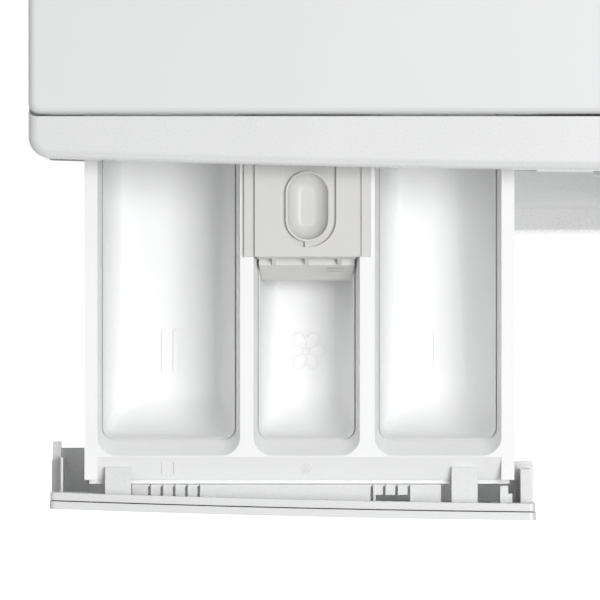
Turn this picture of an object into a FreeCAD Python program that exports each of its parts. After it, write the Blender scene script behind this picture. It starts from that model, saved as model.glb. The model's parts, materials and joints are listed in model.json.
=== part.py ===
"""Front load washing machine, one STEP file for each separate piece, in millimetres.

The machine is laid out with y = 0 on the front panel's face, x = 0 in the middle and z = 0 on the floor: +X
is to the right of someone facing the machine, +Y goes from its front to its back and +Z is up. The detergent
drawer stands at its stop, fully out. Every piece is moved along Y as it is saved, so that the origin is on
the floor under the middle of the whole outline.
"""

import math
import os

import FreeCAD
import Part

V = FreeCAD.Vector

# ---------------------------------------------------------------- driving sizes

# cabinet
CABINET_WIDTH = 598.0
CABINET_DEPTH = 546.0  # front panel's face to rear panel's face
MACHINE_HEIGHT = 846.0
SHEET = 1.0
CORNER_RADIUS = 9.0
FLOOR_GAP = 17.0  # floor to the base's underside
WORKTOP_THICKNESS = 20.5
WORKTOP_OVERHANG = 6.0  # past the rear panel
SEAM_GAP = 0.9  # between two neighbouring outside pieces
RETURN_DEPTH = 12.5  # how far the front panel wraps round the cabinet's side
SIDE_FLANGE = 20.0
KICK_HEIGHT = 80.0
KICK_SETBACK = 4.0
CLEARANCE = 0.3  # between pieces that pass or seat in each other

# fascia and controls
FASCIA_HEIGHT = 130.0
FASCIA_PROUD = 20.6  # in front of the front panel, at the machine's middle
FASCIA_WALL = 2.5
FASCIA_BACK = 12.0
FASCIA_LEDGE = 18.5  # top ledge in front of the worktop
FASCIA_ROUND = 4.0
BOW_RADIUS = 8000.0  # the fascia's gentle bow, seen from above
POWER_FROM_DRAWER = 35.6  # drawer front's side to the power button's middle
KNOB_FROM_DRAWER = 91.6
DISPLAY_FROM_DRAWER = 143.6
START_FROM_SIDE = 67.0
KNOB_RADIUS = 27.0
KNOB_PROUD = 20.0
DISPLAY_WIDTH, DISPLAY_HEIGHT = 112.0, 40.0
BUTTON_TRAVEL = 1.5
BUTTON_PROUD = 2.0
BOARD_Y = -4.0
BOARD_THICKNESS = 1.6

# detergent drawer
DRAWER_EDGE = 8.6  # cabinet's side to the drawer front's side
DRAWER_FRONT_HEIGHT = 93.0
DRAWER_TOP_GAP = 18.0  # machine's top to the drawer front's top
DRAWER_GAP = 0.8
DRAWER_OPEN = 147.4
TRIM_THICKNESS = 3.3
CARRIER_INSET = TRIM_THICKNESS + 0.4  # a shadow gap lies between trim and carrier
CARRIER_THICKNESS = 3.3
ARM_WIDTH = 11.0
RIM_BELOW_TOP = 34.0  # machine's top to the tray's rim
TRAY_INSET_LEFT, TRAY_INSET_RIGHT = 14.5, 9.0  # drawer front's side to the tray's side
TRAY_DEPTH = 60.0
TRAY_LENGTH = 190.0
TRAY_WALL = 1.8
RIM_START = 24.8  # drawer front's face to the near edge of the rim
SIDE_RIM = 5.5
MAIN_WIDTH, SOFTENER_WIDTH, PREWASH_WIDTH = 60.1, 44.8, 53.4
LEFT_DIVIDER, RIGHT_DIVIDER = 5.7, 6.3
RIM_LIP = 0.5  # rim's near edge to a compartment's near edge
BAND_LENGTH, BAND_DROP = 9.7, 6.0  # the slanted band in front of the rim
BOWL_LIP_DEPTH = 13.0  # rim to the crease round a compartment
BOWL_CREASE = 0.45
BOWL_CORNER, CREASE_CORNER = 8.0, 5.2  # corner radii at the rim and at the crease
MARK_SPACING = 2.5
SLOT_PITCH, SLOT_WIDTH = 5.2, 1.1
RUNNER = 2.0
HOUSING_WALL = 2.0
INSERT_START = 84.4  # rim's near edge to the insert's front edge
INSERT_LENGTH = 67.6
SIPHON_INSET = 8.0  # insert's back edge to the siphon post
INSERT_LAP_LEFT, INSERT_LAP_RIGHT = 4.0, 4.8  # how far the insert's flanges lie on the dividers

# door, on the drum's axis
AXIS_Z = 400.0
MOUTH_RADIUS = 161.0  # the hole in the front panel
GLASS_MARGIN = 15.0  # mouth's edge to the glass's edge
DISH_MARGIN = 45.0  # mouth's edge to the dish's edge
DOOR_MARGIN = 25.0  # dish's edge to the door's edge
COLLAR_MARGIN = 5.0  # mouth's edge to the tub collar's outside
DOOR_PROUD = 45.0
DISH_DEPTH = 20.0
GLASS_THICKNESS = 5.0
GLASS_DEPTH = 92.0
HINGE_MARGIN = 5.0  # door's edge to the hinge pin
HINGE_Y = -22.0
HINGE_PIN_RADIUS = 4.0
HINGE_HALF = 60.0
PIN_CLEARANCE = 0.05
HOOK_MARGIN = 11.0  # dish's edge to the hook
HOOK_PIVOT_Y = -9.3

# drum and tub
DRUM_RADIUS = 246.0
DRUM_FRONT, DRUM_BACK = 97.0, 368.0
DRUM_SHEET = 1.0
TUB_GAP = 12.0
TUB_WALL = 6.0
TUB_FRONT, TUB_PARTING, TUB_BACK = 75.0, 235.0, 398.0
HUB_END = 452.0
SHAFT_FRONT_RADIUS, SHAFT_REAR_RADIUS = 15.0, 12.5
PULLEY_RADIUS = 144.0
PULLEY_FRONT, PULLEY_BACK = 462.0, 480.0
MOTOR_X = 110.0
MOTOR_DROP = 42.0  # tub's underside to the motor's axis
MOTOR_RADIUS = 54.0
MOTOR_FRONT, MOTOR_BACK = 312.0, 450.0
MOTOR_PULLEY_RADIUS = 11.52
BELT_THICKNESS = 2.6
SPRING_X, SPRING_Y = 205.0, 280.0
DAMPER_X, DAMPER_Y = 150.0, 300.0
SUMP_DROP = 18.0  # tub's underside to the sump's underside
SPRING_LUG, DAMPER_LUG = 37.7, 14.8  # how far the lugs stand out of the tub

# water and services
PUMP_X, PUMP_Z = 209.0, 58.0
FLAP_LEFT, FLAP_RIGHT, FLAP_LOW, FLAP_HIGH = 152.0, 276.0, 27.0, 88.0
FLAP_GAP = 1.2
NOZZLE_LENGTH = 16.0
FOOT_FROM_SIDE, FOOT_Y = 44.0, 50.0  # foot's middle, from the cabinet's side and from its front and back
FOOT_RADIUS = 21.0

# ---------------------------------------------------------------- worked-out sizes

HALF = CABINET_WIDTH / 2
SHELL_TOP = MACHINE_HEIGHT - WORKTOP_THICKNESS
FASCIA_LOW = MACHINE_HEIGHT - FASCIA_HEIGHT
KICK_TOP = FLOOR_GAP + KICK_HEIGHT
PANEL_LOW, PANEL_HIGH = KICK_TOP + 2 * SEAM_GAP, FASCIA_LOW - SEAM_GAP / 2
CONTROL_Z = MACHINE_HEIGHT - FASCIA_HEIGHT / 2
TUB_INNER = DRUM_RADIUS + TUB_GAP
TUB_OUTER = TUB_INNER + TUB_WALL
GLASS_RADIUS = MOUTH_RADIUS - GLASS_MARGIN
DISH_RADIUS = MOUTH_RADIUS + DISH_MARGIN
DOOR_RADIUS = DISH_RADIUS + DOOR_MARGIN
TUB_COLLAR = MOUTH_RADIUS + COLLAR_MARGIN
HINGE_X = -DOOR_RADIUS - HINGE_MARGIN
HOOK_X = DISH_RADIUS + HOOK_MARGIN
MOTOR_Z = AXIS_Z - TUB_OUTER - MOTOR_DROP
SUMP_Z = AXIS_Z - TUB_OUTER - SUMP_DROP
FOOT_X = HALF - FOOT_FROM_SIDE
VALVE_X, VALVE_Z = -HALF + 59, MACHINE_HEIGHT - 62
DRAIN_X, DRAIN_Z = HALF - 56, MACHINE_HEIGHT - 146
GLAND_X, GLAND_Z = HALF - 56, MACHINE_HEIGHT - 82
SERVICE_X, SERVICE_Z = GLAND_X - 30, GLAND_Z - 24  # inner corner of the rear's service plate
DRAWER_X0 = -HALF + DRAWER_EDGE
DRAWER_Z1 = MACHINE_HEIGHT - DRAWER_TOP_GAP
DRAWER_Z0 = DRAWER_Z1 - DRAWER_FRONT_HEIGHT
TRAY_X0 = DRAWER_X0 + TRAY_INSET_LEFT
MAIN_X0 = TRAY_X0 + SIDE_RIM
SOFTENER_X0 = MAIN_X0 + MAIN_WIDTH + LEFT_DIVIDER
PREWASH_X0 = SOFTENER_X0 + SOFTENER_WIDTH + RIGHT_DIVIDER
TRAY_X1 = PREWASH_X0 + PREWASH_WIDTH + SIDE_RIM
DRAWER_X1 = TRAY_X1 + TRAY_INSET_RIGHT
KNOB_X = DRAWER_X1 + KNOB_FROM_DRAWER
DISPLAY_LEFT = DRAWER_X1 + DISPLAY_FROM_DRAWER
RIM_Z = MACHINE_HEIGHT - RIM_BELOW_TOP
TRAY_Z0 = RIM_Z - TRAY_DEPTH
RUNNER_Z = RIM_Z - 20
SHELF_Z = RIM_Z - 9  # top of the carrier's shelf
SHELF_X0, SHELF_X1 = DRAWER_X0 + 34.5, DRAWER_X0 + 165
SLOT_GROUPS = ((DRAWER_X0 + 41.3, 5), (DRAWER_X0 + 135.2, 4))  # first slot's side and number of slots
ARM_PLACES = (DRAWER_X0 + 23.2, DRAWER_X0 + 169.3)
WASH_DEPTH, SOFTENER_DEPTH = TRAY_DEPTH - 10, TRAY_DEPTH - 16  # rim to the compartment's floor


def fascia_face(x):
    """y of the bowed fascia's front face at x."""
    return -FASCIA_PROUD + x * x / (2 * BOW_RADIUS)


DRAWER_FACE = fascia_face((DRAWER_X0 + DRAWER_X1) / 2) - DRAWER_OPEN
RIM_Y = DRAWER_FACE + RIM_START
TRAY_BACK = RIM_Y + TRAY_LENGTH
SIPHON_X = SOFTENER_X0 + SOFTENER_WIDTH / 2
SIPHON_Y = RIM_Y + INSERT_START + INSERT_LENGTH - SIPHON_INSET
SEAM_Y = fascia_face(DRAWER_X0) + FASCIA_LEDGE
FRONT_MOST = fascia_face(DRAWER_X1) - DRAWER_OPEN
REAR_MOST = CABINET_DEPTH + NOZZLE_LENGTH
ORIGIN_Y = (FRONT_MOST + REAR_MOST) / 2

# ---------------------------------------------------------------- helpers


def outline(points, place):
    """Closed wire through (u, v) or, at a rounded corner, (u, v, radius); place(u, v) puts it in space."""
    corners = []
    for i, corner in enumerate(points):
        here = V(corner[0], corner[1], 0)
        if len(corner) == 2:
            corners.append((here, None, here))
            continue
        before = (V(points[i - 1][0], points[i - 1][1], 0) - here).normalize()
        after = points[(i + 1) % len(points)]
        after = (V(after[0], after[1], 0) - here).normalize()
        half = before.getAngle(after) / 2
        reach = corner[2] / math.tan(half)
        middle = here + (before + after).normalize() * (corner[2] / math.sin(half) - corner[2])
        corners.append((here + before * reach, middle, here + after * reach))
    edges = []
    for i, (start, middle, end) in enumerate(corners):
        last = corners[i - 1][2]
        if (start - last).Length > 1e-6:
            edges.append(Part.LineSegment(place(last.x, last.y), place(start.x, start.y)).toShape())
        if middle is not None:
            edges.append(Part.Arc(*[place(p.x, p.y) for p in (start, middle, end)]).toShape())
    return Part.Wire(edges)


def slab(points, low, high):
    """Outline in plan (x, y), from z low to z high."""
    return Part.Face(outline(points, lambda x, y: V(x, y, low))).extrude(V(0, 0, high - low))


def plate(points, front, back):
    """Outline seen from the front (x, z), from y front to y back."""
    return Part.Face(outline(points, lambda x, z: V(x, front, z))).extrude(V(0, back - front, 0))


def rail(points, left, right):
    """Outline seen from the side (y, z), from x left to x right."""
    return Part.Face(outline(points, lambda y, z: V(left, y, z))).extrude(V(right - left, 0, 0))


def turned(points, x=0.0, z=AXIS_Z):
    """Outline of (radius, y) turned about the line along Y through x and z."""
    face = Part.Face(outline(points, lambda r, y: V(x + r, y, z)))
    return face.revolve(V(x, 0, z), V(0, 1, 0), 360)


def upright(points, x, y):
    """Outline of (radius, z) turned about the vertical line through x and y."""
    face = Part.Face(outline(points, lambda r, z: V(x + r, y, z)))
    return face.revolve(V(x, y, 0), V(0, 0, 1), 360)


def box(x0, x1, y0, y1, z0, z1):
    return Part.makeBox(x1 - x0, y1 - y0, z1 - z0, V(x0, y0, z0))


def rod_y(radius, y0, y1, x=0.0, z=AXIS_Z):
    return Part.makeCylinder(radius, y1 - y0, V(x, y0, z), V(0, 1, 0))


def rod_z(radius, z0, z1, x, y):
    return Part.makeCylinder(radius, z1 - z0, V(x, y, z0))


def rod_x(radius, x0, x1, y, z):
    return Part.makeCylinder(radius, x1 - x0, V(x0, y, z), V(1, 0, 0))


def rect(x0, x1, v0, v1, radius):
    """Corner points of a rectangle whose corners are rounded."""
    return [(x0, v0, radius), (x1, v0, radius), (x1, v1, radius), (x0, v1, radius)]


def join(first, *others):
    """One solid from pieces that touch or overlap."""
    return first.fuse(list(others)).removeSplitter()


def mirrored(shape):
    return shape.mirror(V(0, 0, 0), V(1, 0, 0))


def ring_of(shape, count, x=0.0, z=AXIS_Z, start=0.0):
    """Copies of a shape, evenly spaced round the line along Y through x and z."""
    copies = []
    for i in range(count):
        copy = shape.copy()
        copy.rotate(V(x, 0, z), V(0, 1, 0), start + 360.0 * i / count)
        copies.append(copy)
    return copies


def edges_where(shape, test):
    """Edges whose middle point and direction pass a test of (point, direction)."""
    found = []
    for edge in shape.Edges:
        middle = edge.valueAt((edge.FirstParameter + edge.LastParameter) / 2)
        along = edge.tangentAt((edge.FirstParameter + edge.LastParameter) / 2)
        if test(middle, along):
            found.append(edge)
    return found


def bow(inset=0.0, out=0.0):
    """Everything behind the fascia's bowed face moved back by inset and forward by out."""
    axis = V(0, fascia_face(0) + BOW_RADIUS - out, 0)
    return Part.makeCylinder(BOW_RADIUS - inset, MACHINE_HEIGHT, axis)


def bowed_plate(points, inset, thickness, out=0.0):
    """Plate that follows the fascia's bow: an outline (x, z), its front face inset behind the fascia's."""
    front = fascia_face(0) - out - FASCIA_PROUD
    blank = plate(points, front, front + 4 * FASCIA_PROUD)
    return blank.common(bow(inset, out)).cut(bow(inset + thickness, out))


def tube_along(points, bend, outer, inner=0.0):
    """Round tube along straight runs joined by arcs of radius bend."""
    path = [V(*points[0])]
    edges = []
    for before, here, after in zip(points, points[1:], points[2:]):
        here = V(*here)
        back, ahead = (V(*before) - here).normalize(), (V(*after) - here).normalize()
        half = back.getAngle(ahead) / 2
        start, end = here + back * (bend / math.tan(half)), here + ahead * (bend / math.tan(half))
        middle = here + (back + ahead).normalize() * (bend / math.sin(half) - bend)
        edges += [Part.LineSegment(path[-1], start).toShape(), Part.Arc(start, middle, end).toShape()]
        path.append(end)
    edges.append(Part.LineSegment(path[-1], V(*points[-1])).toShape())
    wire = Part.Wire(edges)
    along = V(*points[1]) - V(*points[0])

    def swept(radius):
        ring = Part.Wire(Part.makeCircle(radius, V(*points[0]), along))
        return wire.makePipeShell([ring], True, False)

    return swept(outer).cut(swept(inner)) if inner else swept(outer)


# ---------------------------------------------------------------- cabinet


def side_panel():
    """Left side: an outside sheet with flanges and a pressed-in field that stiffens it."""
    x = -HALF
    y0, y1 = RETURN_DEPTH + SEAM_GAP / 2, CABINET_DEPTH - SHEET - CLEARANCE
    z0, z1 = FLOOR_GAP, SHELL_TOP
    press, slope, field = 2.5, 6.0, rect(y0 + 42, y1 - 42, z0 + 70, z1 - 70, 30)
    inner_field = [(u + (slope if u < 280 else -slope), v + (slope if v < 420 else -slope), r - 4)
                   for u, v, r in field]

    def pan(depth_from, points_from, depth_to, points_to):
        wires = [outline(p, lambda u, v, d=d: V(x + d, u, v))
                 for d, p in ((depth_from, points_from), (depth_to, points_to))]
        return Part.makeLoft(wires, True, True)

    outer = rail([(y0, z0), (y1, z0), (y1, z1), (y0, z1)], x, x + SHEET)
    sheet = outer.fuse(pan(0, field, press + SHEET, inner_field))
    sheet = sheet.cut(pan(0, shrink(field, SHEET), press, shrink(inner_field, SHEET)))
    flanges = [
        box(x + SHEET, x + SIDE_FLANGE, y0, y0 + SHEET, z0, z1),
        box(x + SHEET, x + SIDE_FLANGE, y1 - SHEET, y1, z0, z1),
        box(x + SHEET, x + SIDE_FLANGE, y0, y1, z1 - SHEET, z1),
    ]
    return join(sheet, *flanges)


def shrink(points, by):
    """A rounded rectangle's corner points moved inwards."""
    middle_u = sum(p[0] for p in points) / len(points)
    middle_v = sum(p[1] for p in points) / len(points)
    return [(u + (by if u < middle_u else -by), v + (by if v < middle_v else -by), r - by)
            for u, v, r in points]


def wrapped_front(y_face, half, low, high, depth, radius, wall=SHEET):
    """Sheet that covers the front and wraps round both front corners."""
    shell = [(-half, depth), (-half, y_face, radius), (half, y_face, radius), (half, depth)]
    inner = radius - wall
    shell += [(half - wall, depth), (half - wall, y_face + wall, inner)]
    shell += [(-half + wall, y_face + wall, inner), (-half + wall, depth)]
    return slab(shell, low, high)


def front_panel():
    """Front sheet with a pressed dish round the drum's mouth and a slot for the door hook."""
    back = DISH_DEPTH + SHEET
    dish = [(DISH_RADIUS + 1, 0), (DISH_RADIUS + 1, SHEET), (DISH_RADIUS - 0.4, SHEET),
            (DISH_RADIUS - 15.4, back)]
    dish += [(MOUTH_RADIUS + SHEET, back), (MOUTH_RADIUS + SHEET, back + 6), (MOUTH_RADIUS, back + 6)]
    dish += [(MOUTH_RADIUS, DISH_DEPTH), (DISH_RADIUS - 16, DISH_DEPTH), (DISH_RADIUS - 1, 0)]
    sheet = wrapped_front(0, HALF, PANEL_LOW, PANEL_HIGH, RETURN_DEPTH, CORNER_RADIUS)
    sheet = sheet.cut(rod_y(DISH_RADIUS + 1, -1, SHEET + 1))
    slot = box(HOOK_X - 7, HOOK_X + 12, -1, SHEET + 1, AXIS_Z - 9, AXIS_Z + 9)
    return join(sheet, turned(dish)).cut(slot)


def kick_plate():
    """Plinth sheet with the opening that the service flap closes."""
    face = KICK_SETBACK
    sheet = wrapped_front(face, HALF - 2, FLOOR_GAP, KICK_TOP, RETURN_DEPTH, CORNER_RADIUS - 2, 2 * SHEET)
    gap = FLAP_GAP
    opening = plate(rect(FLAP_LEFT - gap, FLAP_RIGHT + gap, FLAP_LOW - gap, FLAP_HIGH + gap, 4), 0, 9)
    top_lip = box(-HALF + 20, HALF - 20, face + 2 * SHEET, RETURN_DEPTH - 1, KICK_TOP - 2, KICK_TOP)
    return join(sheet, top_lip).cut(opening)


def service_flap():
    """Flap over the pump filter, turning on a barrel along its bottom edge."""
    face = KICK_SETBACK
    leaf = plate(rect(FLAP_LEFT, FLAP_RIGHT, FLAP_LOW, FLAP_HIGH, 3.2), face, face + 2)
    notch = rod_y(9, face - 1, face + 4, (FLAP_LEFT + FLAP_RIGHT) / 2, FLAP_HIGH + 4)
    ribs = [box(x, x + 3, face + 1, face + 10, FLAP_LOW + 8, FLAP_HIGH - 8)
            for x in (FLAP_LEFT + 8, FLAP_RIGHT - 11)]
    ribs.append(box(FLAP_LEFT + 4, FLAP_RIGHT - 4, face + 1, face + 8, FLAP_HIGH - 8, FLAP_HIGH - 6))
    barrel = rod_x(1.6, FLAP_LEFT + 4, FLAP_RIGHT - 4, FLAP_HINGE_Y, FLAP_HINGE_Z)
    return join(leaf.cut(notch), *ribs, barrel)


FLAP_HINGE_Y, FLAP_HINGE_Z = KICK_SETBACK + 1.6, FLAP_LOW + 2.2


def rear_panel():
    """Rear sheet with the belt access opening, and a band above it that ends at the service plate."""
    y0 = CABINET_DEPTH - SHEET
    sheet = plate(rect(-HALF + 3, HALF - 3, FLOOR_GAP + 2, SHELL_TOP - 2, 4), y0, CABINET_DEPTH)
    access = plate(rect(-170, 170, AXIS_Z - 190, AXIS_Z + 160, 40), y0 - 1, CABINET_DEPTH + 1)
    holes = [rod_y(13.8, y0 - 1, CABINET_DEPTH + 1, VALVE_X, VALVE_Z)]
    holes += [rod_y(TRANSIT_RADIUS, y0 - 1, CABINET_DEPTH + 1, x, z) for x, z in TRANSIT_PLACES]
    holes += [rod_y(12.5, y0 - 1, CABINET_DEPTH + 1, DRAIN_X, DRAIN_Z)]
    seam = box(-HALF, HALF, y0 - 1, CABINET_DEPTH + 1, SERVICE_Z - CLEARANCE, SERVICE_Z)
    corner = box(SERVICE_X, HALF, y0 - 1, CABINET_DEPTH + 1, SERVICE_Z - CLEARANCE, SHELL_TOP)
    return sheet.cut([access, seam, corner] + holes)


TRANSIT_RADIUS = 11.0
TRANSIT_PLACES = [(-215.0, AXIS_Z + 190), (215.0, AXIS_Z + 190), (-215.0, AXIS_Z - 200),
                  (215.0, AXIS_Z - 200)]


def rear_access_cover():
    """Screwed-on cover with a shallow pressed dome behind the drum pulley."""
    y0 = CABINET_DEPTH + CLEARANCE
    sheet = plate(rect(-186, 186, AXIS_Z - 206, AXIS_Z + 176, 46), y0, y0 + SHEET)
    dome = [(152, y0), (152, y0 + SHEET), (148, y0 + SHEET), (136, y0 + 8), (0, y0 + 8)]
    dome += [(0, y0 + 7), (135, y0 + 7), (147, y0)]
    return join(sheet.cut(rod_y(152, y0 - 1, y0 + 9)), turned(dome))


def rear_fixings():
    """Screws of the access cover and rear panel, and the caps over the transit bolt holes."""
    y0 = CABINET_DEPTH + CLEARANCE + SHEET
    cover = [(sx * 170, AXIS_Z + dz) for sx in (-1, 1) for dz in (-190, -15, 160)]
    edge = [(sx * (HALF - 12), 60 + i * (SHELL_TOP - 105) / 3) for sx in (-1, 1) for i in range(4)]
    solids = [screw_head(x, z, y0 + CLEARANCE) for x, z in cover]
    solids += [screw_head(x, z, CABINET_DEPTH + CLEARANCE) for x, z in edge]
    for x, z in TRANSIT_PLACES:
        cap = [(0, CABINET_DEPTH - 8), (TRANSIT_RADIUS - CLEARANCE, CABINET_DEPTH - 8)]
        cap += [(TRANSIT_RADIUS - CLEARANCE, CABINET_DEPTH + CLEARANCE),
                (TRANSIT_RADIUS + 4, CABINET_DEPTH + CLEARANCE)]
        cap += [(TRANSIT_RADIUS + 3, CABINET_DEPTH + 3, 1), (0, CABINET_DEPTH + 3)]
        solids.append(turned(cap, x, z))
    return Part.makeCompound(solids)


def screw_head(x, z, y):
    """Hexagon washer head, 8 mm across."""
    hexagon = [(x + 4.6 * math.cos(math.radians(a)), z + 4.6 * math.sin(math.radians(a)))
               for a in range(0, 360, 60)]
    return join(rod_y(5.5, y, y + 1.2, x, z), plate(hexagon, y + 1.2, y + 4.5))


def base_tray():
    """Moulded base: floor, low walls, threaded bosses for the feet and pads for the dampers."""
    x, z0, z1 = HALF - SHEET - CLEARANCE, FLOOR_GAP, FLOOR_GAP + 24
    y0, y1 = RETURN_DEPTH + 2, CABINET_DEPTH - SHEET - SIDE_FLANGE / 10
    block = slab(rect(-x, x, y0, y1, 6), z0, z1)
    block = block.cut(slab(rect(-x + 3, x - 3, y0 + 3, y1 - 3, 4), z0 + 3, z1 + 1))
    block = block.cut(
        [box(sx * HALF - 24, sx * HALF + 24, yf - 3, yf + 3, z0 - 1, z1 + 1)
         for sx in (-1, 1) for yf in (y0, y1)]
    )
    ribs = [box(-x + 3, x - 3, y, y + 3, z0 + 3, z0 + 10) for y in (150, 400)]
    bosses = [rod_z(14, z0, z1 + 10, fx, fy) for fx, fy in foot_places()]
    pads = [box(sx * DAMPER_X - 18, sx * DAMPER_X + 18, DAMPER_Y - 16, DAMPER_Y + 16, z0, DAMPER_FOOT_Z)
            for sx in (-1, 1)]
    holes = [rod_z(FOOT_STEM + 0.1, z0 - 1, z1 + 11, fx, fy) for fx, fy in foot_places()]
    holes.append(box(PUMP_X - 30, PUMP_X + 30, y0 - 1, y0 + 4, z0 + 3, z1 + 1))
    return join(block, *ribs, *bosses, *pads).cut(holes)


DAMPER_FOOT_Z = 50.0
FOOT_STEM = 5.0


def foot_places():
    return [(sx * FOOT_X, fy) for fy in (FOOT_Y, CABINET_DEPTH - FOOT_Y) for sx in (-1, 1)]


def foot(x, y):
    """Screw foot: rubber-soled pad, hexagon and stem."""
    pad = [(0, 0), (FOOT_RADIUS, 0, 1), (FOOT_RADIUS, 5, 2), (12, 9), (0, 9)]
    hexagon = [(x + 9.8 * math.cos(math.radians(a)), y + 9.8 * math.sin(math.radians(a)))
               for a in range(0, 360, 60)]
    return join(upright(pad, x, y), slab(hexagon, 9, 15), rod_z(FOOT_STEM, 9, FLOOR_GAP + 30, x, y))


def top_rails():
    """Cross rails between the side panels: under the fascia, over the tub and at the back."""
    x = HALF - SHEET - CLEARANCE - 3.5
    spring = box(-x, x, SPRING_Y - 14, SPRING_Y + 14, SHELL_TOP - 32, SHELL_TOP - 4)
    spring = spring.cut(box(-x - 1, x + 1, SPRING_Y - 12.5, SPRING_Y + 12.5, SHELL_TOP - 30.5, SHELL_TOP - 3))
    holes = [rod_z(4, SHELL_TOP - 40, SHELL_TOP, sx * SPRING_X, SPRING_Y) for sx in (-1, 1)]
    # a notch lets the lid's spigot and its lug through the rail
    holes.append(box(VALVE_X - 9, VALVE_X + 9, SPRING_Y - 15, SPRING_Y + 15, HOUSING_Z1 - 12.5, SHELL_TOP))
    front = box(-x, x, 16, 34, FASCIA_LOW - 16, FASCIA_LOW + 12)
    front = front.cut(box(-x - 1, x + 1, 17.5, 35, FASCIA_LOW - 14.5, FASCIA_LOW + 10.5))
    back = box(-x, x, CABINET_DEPTH - 26, CABINET_DEPTH - 6, SHELL_TOP - 26, SHELL_TOP - 4)
    back = back.cut(box(-x - 1, x + 1, CABINET_DEPTH - 24.5, CABINET_DEPTH - 7.5, SHELL_TOP - 24.5,
                        SHELL_TOP - 3))
    return Part.makeCompound([spring.cut(holes), front, back])


def worktop_outline(grow=0.0):
    x = HALF + grow
    return [(-x, SEAM_Y - grow, 4.5), (x, SEAM_Y - grow, 4.5),
            (x, CABINET_DEPTH + WORKTOP_OVERHANG + grow, 4),
            (-x, CABINET_DEPTH + WORKTOP_OVERHANG + grow, 4)]


def worktop():
    """Laminated board with rounded upper edges."""
    board = slab(worktop_outline(), SHELL_TOP, MACHINE_HEIGHT)
    top = edges_where(board, lambda p, d: p.z > MACHINE_HEIGHT - 0.1 and p.y > SEAM_Y + 2)
    return board.makeFillet(3.0, top)


# ---------------------------------------------------------------- fascia and controls


def fascia_block(inset, low, high, back):
    """Bowed block with rounded front corners, the fascia's outside or, inset, its inside."""
    x = HALF - inset
    block = box(-x, x, fascia_face(0) - 1, back, low, high).common(bow(inset))
    upright_edges = edges_where(block, lambda p, d: abs(d.z) > 0.9 and p.y < back - 5)
    return block.makeFillet(CORNER_RADIUS - inset, upright_edges)


def button_places():
    """Name, x, z, half width and half height of each button."""
    low = CONTROL_Z - 34
    return [
        ("power_button", DRAWER_X1 + POWER_FROM_DRAWER, CONTROL_Z, 11.0, 11.0),
        ("temperature_button", DISPLAY_LEFT + 22, low, 15.0, 6.5),
        ("spin_button", DISPLAY_LEFT + DISPLAY_WIDTH - 22, low, 15.0, 6.5),
        ("start_button", HALF - START_FROM_SIDE, CONTROL_Z, 19.0, 19.0),
    ]


def button_outline(x, z, half_w, half_h, grow=0.0):
    radius = min(half_w, half_h) - (0.05 if half_w == half_h else 2.5)
    return rect(x - half_w - grow, x + half_w + grow, z - half_h - grow, z + half_h + grow, radius + grow)


def display_outline(grow=0.0):
    low = CONTROL_Z - DISPLAY_HEIGHT / 2 + 6
    return rect(DISPLAY_LEFT - grow, DISPLAY_LEFT + DISPLAY_WIDTH + grow, low - grow,
                low + DISPLAY_HEIGHT + grow, 5 + grow)


def fascia():
    """Control panel moulding: bowed front, top ledge, openings for drawer, knob, buttons and display."""
    block = fascia_block(0, FASCIA_LOW, MACHINE_HEIGHT, FASCIA_BACK)
    front_top = edges_where(block, lambda p, d: p.z > MACHINE_HEIGHT - 0.1 and p.y < FASCIA_BACK - 1)
    front_low = edges_where(block, lambda p, d: p.z < FASCIA_LOW + 0.1 and p.y < FASCIA_BACK - 1)
    block = block.makeFillet(FASCIA_ROUND, front_top + front_low)
    inside = fascia_block(FASCIA_WALL, FASCIA_LOW + FASCIA_WALL, MACHINE_HEIGHT - FASCIA_WALL,
                          FASCIA_BACK + 5)
    shell = block.cut(inside).cut(slab(worktop_outline(SEAM_GAP), SHELL_TOP - SEAM_GAP, MACHINE_HEIGHT + 1))
    front = -FASCIA_PROUD - 5
    gap = DRAWER_GAP
    cuts = [box(DRAWER_X0 - gap, DRAWER_X1 + gap, front, FASCIA_BACK + 1, DRAWER_Z0 - gap, DRAWER_Z1 + gap)]
    cuts += [rod_y(5, front, 0, KNOB_X, CONTROL_Z)]
    cuts += [plate(display_outline(CLEARANCE), front, 0)]
    cuts += [plate(button_outline(x, z, w, h, CLEARANCE), front, 0) for _, x, z, w, h in button_places()]
    return shell.cut(cuts)


def display_window():
    """Tinted lens, flush with the fascia."""
    return bowed_plate(display_outline(), 0.0, 3.0)


def control_board():
    """Circuit board with the display module, knob encoder, switches, relays and capacitors."""
    y0, y1 = BOARD_Y, BOARD_Y + BOARD_THICKNESS
    left = DRAWER_X1 + POWER_FROM_DRAWER - 20
    solids = [plate(rect(left, HALF - START_FROM_SIDE + 30, FASCIA_LOW + 12, SHELL_TOP - 12, 3), y0, y1)]
    window_low = CONTROL_Z - DISPLAY_HEIGHT / 2 + 6
    solids.append(box(DISPLAY_LEFT + 5, DISPLAY_LEFT + DISPLAY_WIDTH - 5, y0 - 8, y0, window_low + 3,
                      window_low + DISPLAY_HEIGHT - 3))
    solids.append(box(KNOB_X - 7, KNOB_X + 7, y0 - 5, y0, CONTROL_Z - 7, CONTROL_Z + 7))
    solids += [box(x - 3, x + 3, y0 - 3.5, y0, z - 3, z + 3) for _, x, z, _, _ in button_places()]
    solids += [box(left + x, left + x + 15, y1, y1 + 12, CONTROL_Z + 6, CONTROL_Z + 25)
               for x in (130, 150, 170)]
    solids += [rod_y(8, y1, y1 + 18, left + x, CONTROL_Z - 22) for x in (210, 232)]
    solids += [box(left + x, left + x + 24, y1, y1 + 10, CONTROL_Z - 38, CONTROL_Z - 30)
               for x in (30, 70, 110)]
    return join(solids[0], *solids[1:])


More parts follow.
